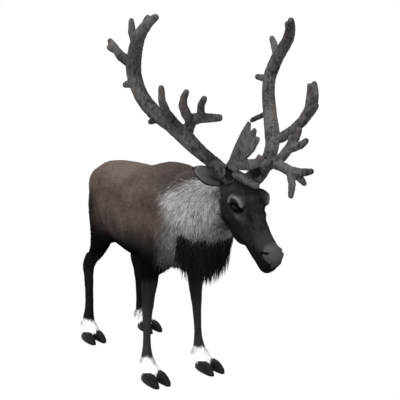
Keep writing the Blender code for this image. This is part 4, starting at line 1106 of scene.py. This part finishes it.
# shares of the skin: 1 where a kind of hair grows, 0 where it doesn't
on_face = head_share(face_middle) * (1.0 - ear_zone)
low_leg = (1.0 - ramp(fz, 0.40, 0.56)) * (fz > 0.046)
ruff_zone = ramp(fx, 0.12, 0.22) * (1.0 - on_face) * (1.0 - ear_zone) * (fz > 0.62)
trunk = (1.0 - on_face) * (1.0 - low_leg) * (1.0 - ear_zone) * (1.0 - 0.8 * ruff_zone) * (fz > 0.3)
bare = stroke(face_middle, NOSTRIL, 0.010) * (s < 0.5)
for side, sign in SIDES:
    u, v, w, slit_ring, hollow_ring, near = eye_places(face_middle, sign)
    bare = np.maximum(bare, near * (hollow_ring < 1.0))
face_area = on_face * (1.0 - ramp(bare, 0.2, 0.4)) * (1.0 - pedicle_share(face_middle))
fringe = (fz > 0.046) * (1.0 - ramp(fz, 0.085, 0.110))
print("face %.3f m2, ears %.3f m2" % ((face_size * face_area).sum(), (face_size * ear_zone).sum()))

# %% Sow the short coat
# title, where, roots for each square metre, length, width, rise
for title, zone, density, length, width, rise in (
        ("face", face_area, 230000, 0.0060, 0.0012, 0.22),
        ("ear", ear_zone, 200000, 0.0070, 0.0012, 0.25),
        ("leg", low_leg, 110000, 0.0105, 0.0019, 0.20),
        ("fringe", fringe, 90000, 0.0300, 0.0024, 0.30),
        ("trunk", trunk, 74000, 0.0200, 0.0030, 0.20)):
    number = int((face_size * zone).sum() * density * amount)
    grow(title, sow(zone, number), length, width * wider, rise, droop=0.02, steps=1)

# %% [markdown]
# The ruff is long pale hair that streams down the neck, a short layer under a long one,
# with single dark wisps between. The beard under the throat is black and ragged, and its
# longest locks hang a hand's breadth below the skin. Long hair drawn as flat cards shows
# its edges from the side, so it is grown like the short coat, in more steps that droop.
# %% Where the ruff and the beard grow
beard_top = np.interp(fx, *BEARD_TOP)
beard_zone = (ramp(fx, 0.336, 0.350) * (1.0 - ramp(fz - beard_top, -0.010, 0.0))
              * (fz > 0.60) * (s < 0.30) * (1.0 - on_face))
edge_zone = (ramp(fx, 0.330, 0.350) * (1.0 - ramp(fx, 0.46, 0.52))
             * np.exp(-((fz - beard_top - 0.02) / 0.018) ** 2))
pale_zone = ruff_zone * (1.0 - beard_zone)
ruff_area = (face_size * ruff_zone).sum()
beard_area = (face_size * beard_zone).sum()
print("ruff %.3f m2, beard %.3f m2" % (ruff_area, beard_area))


def shorter_near_beard(place):
    """Share of the full length, so that pale hair doesn't hang over the beard."""
    over = place[:, 2] - np.interp(place[:, 0], *BEARD_TOP)
    front = ramp(place[:, 0], 0.30, 0.36)
    border = np.interp(place[:, 2], *HEAD_BORDER) - place[:, 0]
    above_beard = 1.0 - 0.75 * front * (1.0 - ramp(over, 0.0, 0.11))
    return above_beard * (0.45 + 0.55 * ramp(border, 0.0, 0.10))

# %% Ruff and beard
# title, where, number, length, width, rise, droop, steps, tone
for title, zone, number, length, width, rise, droop, steps, tone in (
        ("ruff_under", pale_zone, ruff_area * 70000, 0.026, 0.0024, 0.24, 0.10, 2, None),
        ("ruff", pale_zone, ruff_area * 48000, 0.044, 0.0024, 0.25, 0.22, 3, None),
        ("wisps", pale_zone, ruff_area * 5200, 0.044, 0.0018, 0.30, 0.20, 3, STREAK * 0.8),
        ("beard_edge", edge_zone, 420, 0.060, 0.0040, 0.20, 0.40, 3, BEARD_BLACK),
        ("beard_under", beard_zone, beard_area * 42000, 0.060, 0.0042, 0.26, 0.60, 2, BEARD_BLACK),
        ("beard", beard_zone, beard_area * 26000, 0.128, 0.0048, 0.22, 1.00, 4, BEARD_BLACK)):
    roots = sow(zone, int(number * amount))
    lengths = length * shorter_near_beard(roots[0]) if tone is None else length
    grow(title, roots, lengths, width * wider, rise, droop, steps,
         wander=0.15, tone=tone, shade=0.55)
for bundle in made_tufts:
    plant(bundle)
print("coat triangles:", sum(len(b["points"]) * len(b["faces"]) for b in made_tufts))

# %% [markdown]
# Each antler is bone under the last of its velvet: one slightly flattened beam that runs
# into its tines. Melting the four solids of a side gives the natural forks, where tubes
# joined by hand would show a seam. Low ridges and knobs are then pushed out and painted
# paler than the grooves between them, partly as rubbing wears them and partly as a painted
# highlight on the ridges and painted shade in the grooves.
# %% Antlers
# the dark bone tone fills the grooves as partly painted shade; the pale tone on ridges and knobs
# is partly wear and partly painted highlight
ANTLER_TONE = np.array([0.0130, 0.0115, 0.0106])
ANTLER_PALE = np.array([0.064, 0.059, 0.056])
ANTLER_VOXEL = 0.0036
ANTLER_FATTEN = 0.0016
RIDGE_HEIGHT = 0.0013
KNOB_HEIGHT = 0.0020


def roughen(thing):
    """Long low ridges and small knobs, painted pale on top and dark in the grooves: partly wear,
    partly painted highlight and painted shade.
    """
    points = points_of(thing)
    reach = np.hypot(points[:, 1], points[:, 2] - 1.10)
    along = np.stack([points[:, 0], points[:, 1], points[:, 2] * 0.35], axis=1)
    ridges = 1.0 - 2.0 * np.abs(blotch(along, 0.014, 8.0) - 0.5) * 2.0
    knobs = blotch(points, 0.022, 9.0) - 0.5
    depth = RIDGE_HEIGHT * ridges + KNOB_HEIGHT * knobs
    put_points(thing, points + normals_of(thing) * (depth * ramp(reach, 0.0, 0.05))[:, None])
    patches = blotch(points, 0.110, 10.0) - 0.5
    # pale on ridges and knobs, dark in the grooves: partly wear, partly painted highlight and
    # painted shade, varied by larger random patches
    wear_and_painted_highlight = ramp(0.80 * ridges + 0.5 * knobs + 2.0 * patches, -0.7, 1.2)
    paint_points(thing, mix(spread(ANTLER_TONE, points), ANTLER_PALE, wear_and_painted_highlight), "antler_tone")


bone = painted_material("antler bone", "antler_tone", 0.70, 0.05, 90.0, 6.0,
                        (0.65, 1.35), (0.60, 0.004), stretch=0.35)
for side, sign in SIDES:
    parts = ["antler_%s_%s" % (side, part) for part in ("beam_low", "brow", "bez", "beam_high")]
    antler = melt(parts, "antler_" + side, ANTLER_VOXEL, ANTLER_FATTEN, SMOOTH_ROUNDS)
    roughen(antler)
    antler.data.materials.append(bone)
    bpy.ops.object.shade_smooth()
    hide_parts(*parts)
    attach(antler, "root")
    print("antler", side, len(antler.data.polygons), "faces")

# %% [markdown]
# Hooves are black horn with a dull shine. A Bevel would round only their sharp edges, and
# remeshing rounds the whole claw as wear does.
# %% Hooves


def plain_material(title, colour, roughness, gloss):
    material = bpy.data.materials.new(title)
    material.use_nodes = True
    shader = material.node_tree.nodes["Principled BSDF"]
    shader.inputs["Base Color"].default_value = colour
    shader.inputs["Roughness"].default_value = roughness
    shader.inputs["Specular IOR Level"].default_value = gloss
    return material


HOOF_VOXEL = 0.0030
HOOF_FATTEN = 0.0004
horn = plain_material("hoof horn", (0.0045, 0.0042, 0.0040, 1.0), 0.45, 0.08)
for side, sign in SIDES:
    for leg in ("fore", "hind"):
        name = "%s_hoof_%s" % (leg, side)
        hoof = melt([name], name + "_horn", HOOF_VOXEL, HOOF_FATTEN, 3)
        hoof.data.materials.append(horn)
        bpy.ops.object.shade_smooth()
        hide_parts(name)
        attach(hoof, "root")
        print(hoof.name, len(hoof.data.polygons), "faces")

# %% [markdown]
# The eyes are dark, wet balls. An iris would hardly show in them, so a smooth near-black
# brown is enough.
# %% Eyes
wet = plain_material("dark wet eye", (0.004, 0.003, 0.0025, 1.0), 0.12, 0.05)
for side, sign in SIDES:
    centre = on_head(EYE_PLACE[0], EYE_PLACE[1], EYE_PLACE[2] * sign)
    bpy.ops.object.select_all(action="DESELECT")
    bpy.ops.mesh.primitive_uv_sphere_add(segments=48, ring_count=24, radius=EYE_RADIUS,
                                         location=centre)
    ball = bpy.context.object
    ball.name = "eyeball_" + side
    bpy.ops.object.transform_apply(location=True, rotation=True, scale=True)
    bpy.ops.object.shade_smooth()
    ball.data.materials.append(wet)
    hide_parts("eye_" + side)
    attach(ball, "root")
    print(ball.name, "at", centre.round(3))

# %% [markdown]
# Dark fur in front of white needs light from all round, or it turns into a black shape.
# The floor and the sky glow as bright as white paper, so no horizon shows and no shadow
# falls, and one broad sun from the right and above models the near side.
# %% Floor and light
FLOOR_SIZE = 60.0
FLOOR_HEIGHT = -0.0005
WHITE_GLOW = 1.01
SUN_STRENGTH = 5.0
SUN_WIDTH = math.radians(40.0)
SUN_WAY = (-0.30, 0.50, -0.82)
PURE_WHITE = (1.0, 1.0, 1.0, 1.0)


def aimed(way):
    """The turn that points a light or a camera along a way."""
    return Vector(way).to_track_quat("-Z", "Y").to_euler()


bpy.ops.object.select_all(action="DESELECT")
bpy.ops.mesh.primitive_plane_add(size=FLOOR_SIZE, location=(0.0, 0.0, FLOOR_HEIGHT))
floor = bpy.context.object
floor.name = "floor"
glow = plain_material("glowing floor", (0.0, 0.0, 0.0, 1.0), 1.0, 0.0)
glow.node_tree.nodes["Principled BSDF"].inputs["Emission Color"].default_value = PURE_WHITE
glow.node_tree.nodes["Principled BSDF"].inputs["Emission Strength"].default_value = WHITE_GLOW
floor.data.materials.append(glow)
sun_data = bpy.data.lights.new("high sun", "SUN")
sun_data.energy = SUN_STRENGTH
sun_data.angle = SUN_WIDTH
sun = bpy.data.objects.new("high sun", sun_data)
bpy.context.scene.collection.objects.link(sun)
sun.location = (0.0, 0.0, 4.0)
sun.rotation_euler = aimed(SUN_WAY)
world = bpy.data.worlds.new("studio")
bpy.context.scene.world = world
world.use_nodes = True
world.node_tree.nodes["Background"].inputs["Color"].default_value = PURE_WHITE
world.node_tree.nodes["Background"].inputs["Strength"].default_value = WHITE_GLOW
print("one sun of strength", SUN_STRENGTH)

# %% [markdown]
# A long lens from a few metres away keeps the near legs from looking larger than the far
# ones. The camera stands a little above the withers, in front of the right shoulder.
# %% Camera
LENS = 72.19
CAMERA_PLACE = (3.6293, -1.9801, 1.6654)
CAMERA_WAY = (-0.8463, 0.5030, -0.1753)
camera_data = bpy.data.cameras.new("camera")
camera_data.lens = LENS
camera_data.sensor_width = 36.0
camera = bpy.data.objects.new("camera", camera_data)
bpy.context.scene.collection.objects.link(camera)
camera.location = CAMERA_PLACE
camera.rotation_euler = aimed(CAMERA_WAY)
bpy.context.scene.camera = camera
bpy.context.scene.view_settings.view_transform = "Standard"
print("camera at", CAMERA_PLACE)
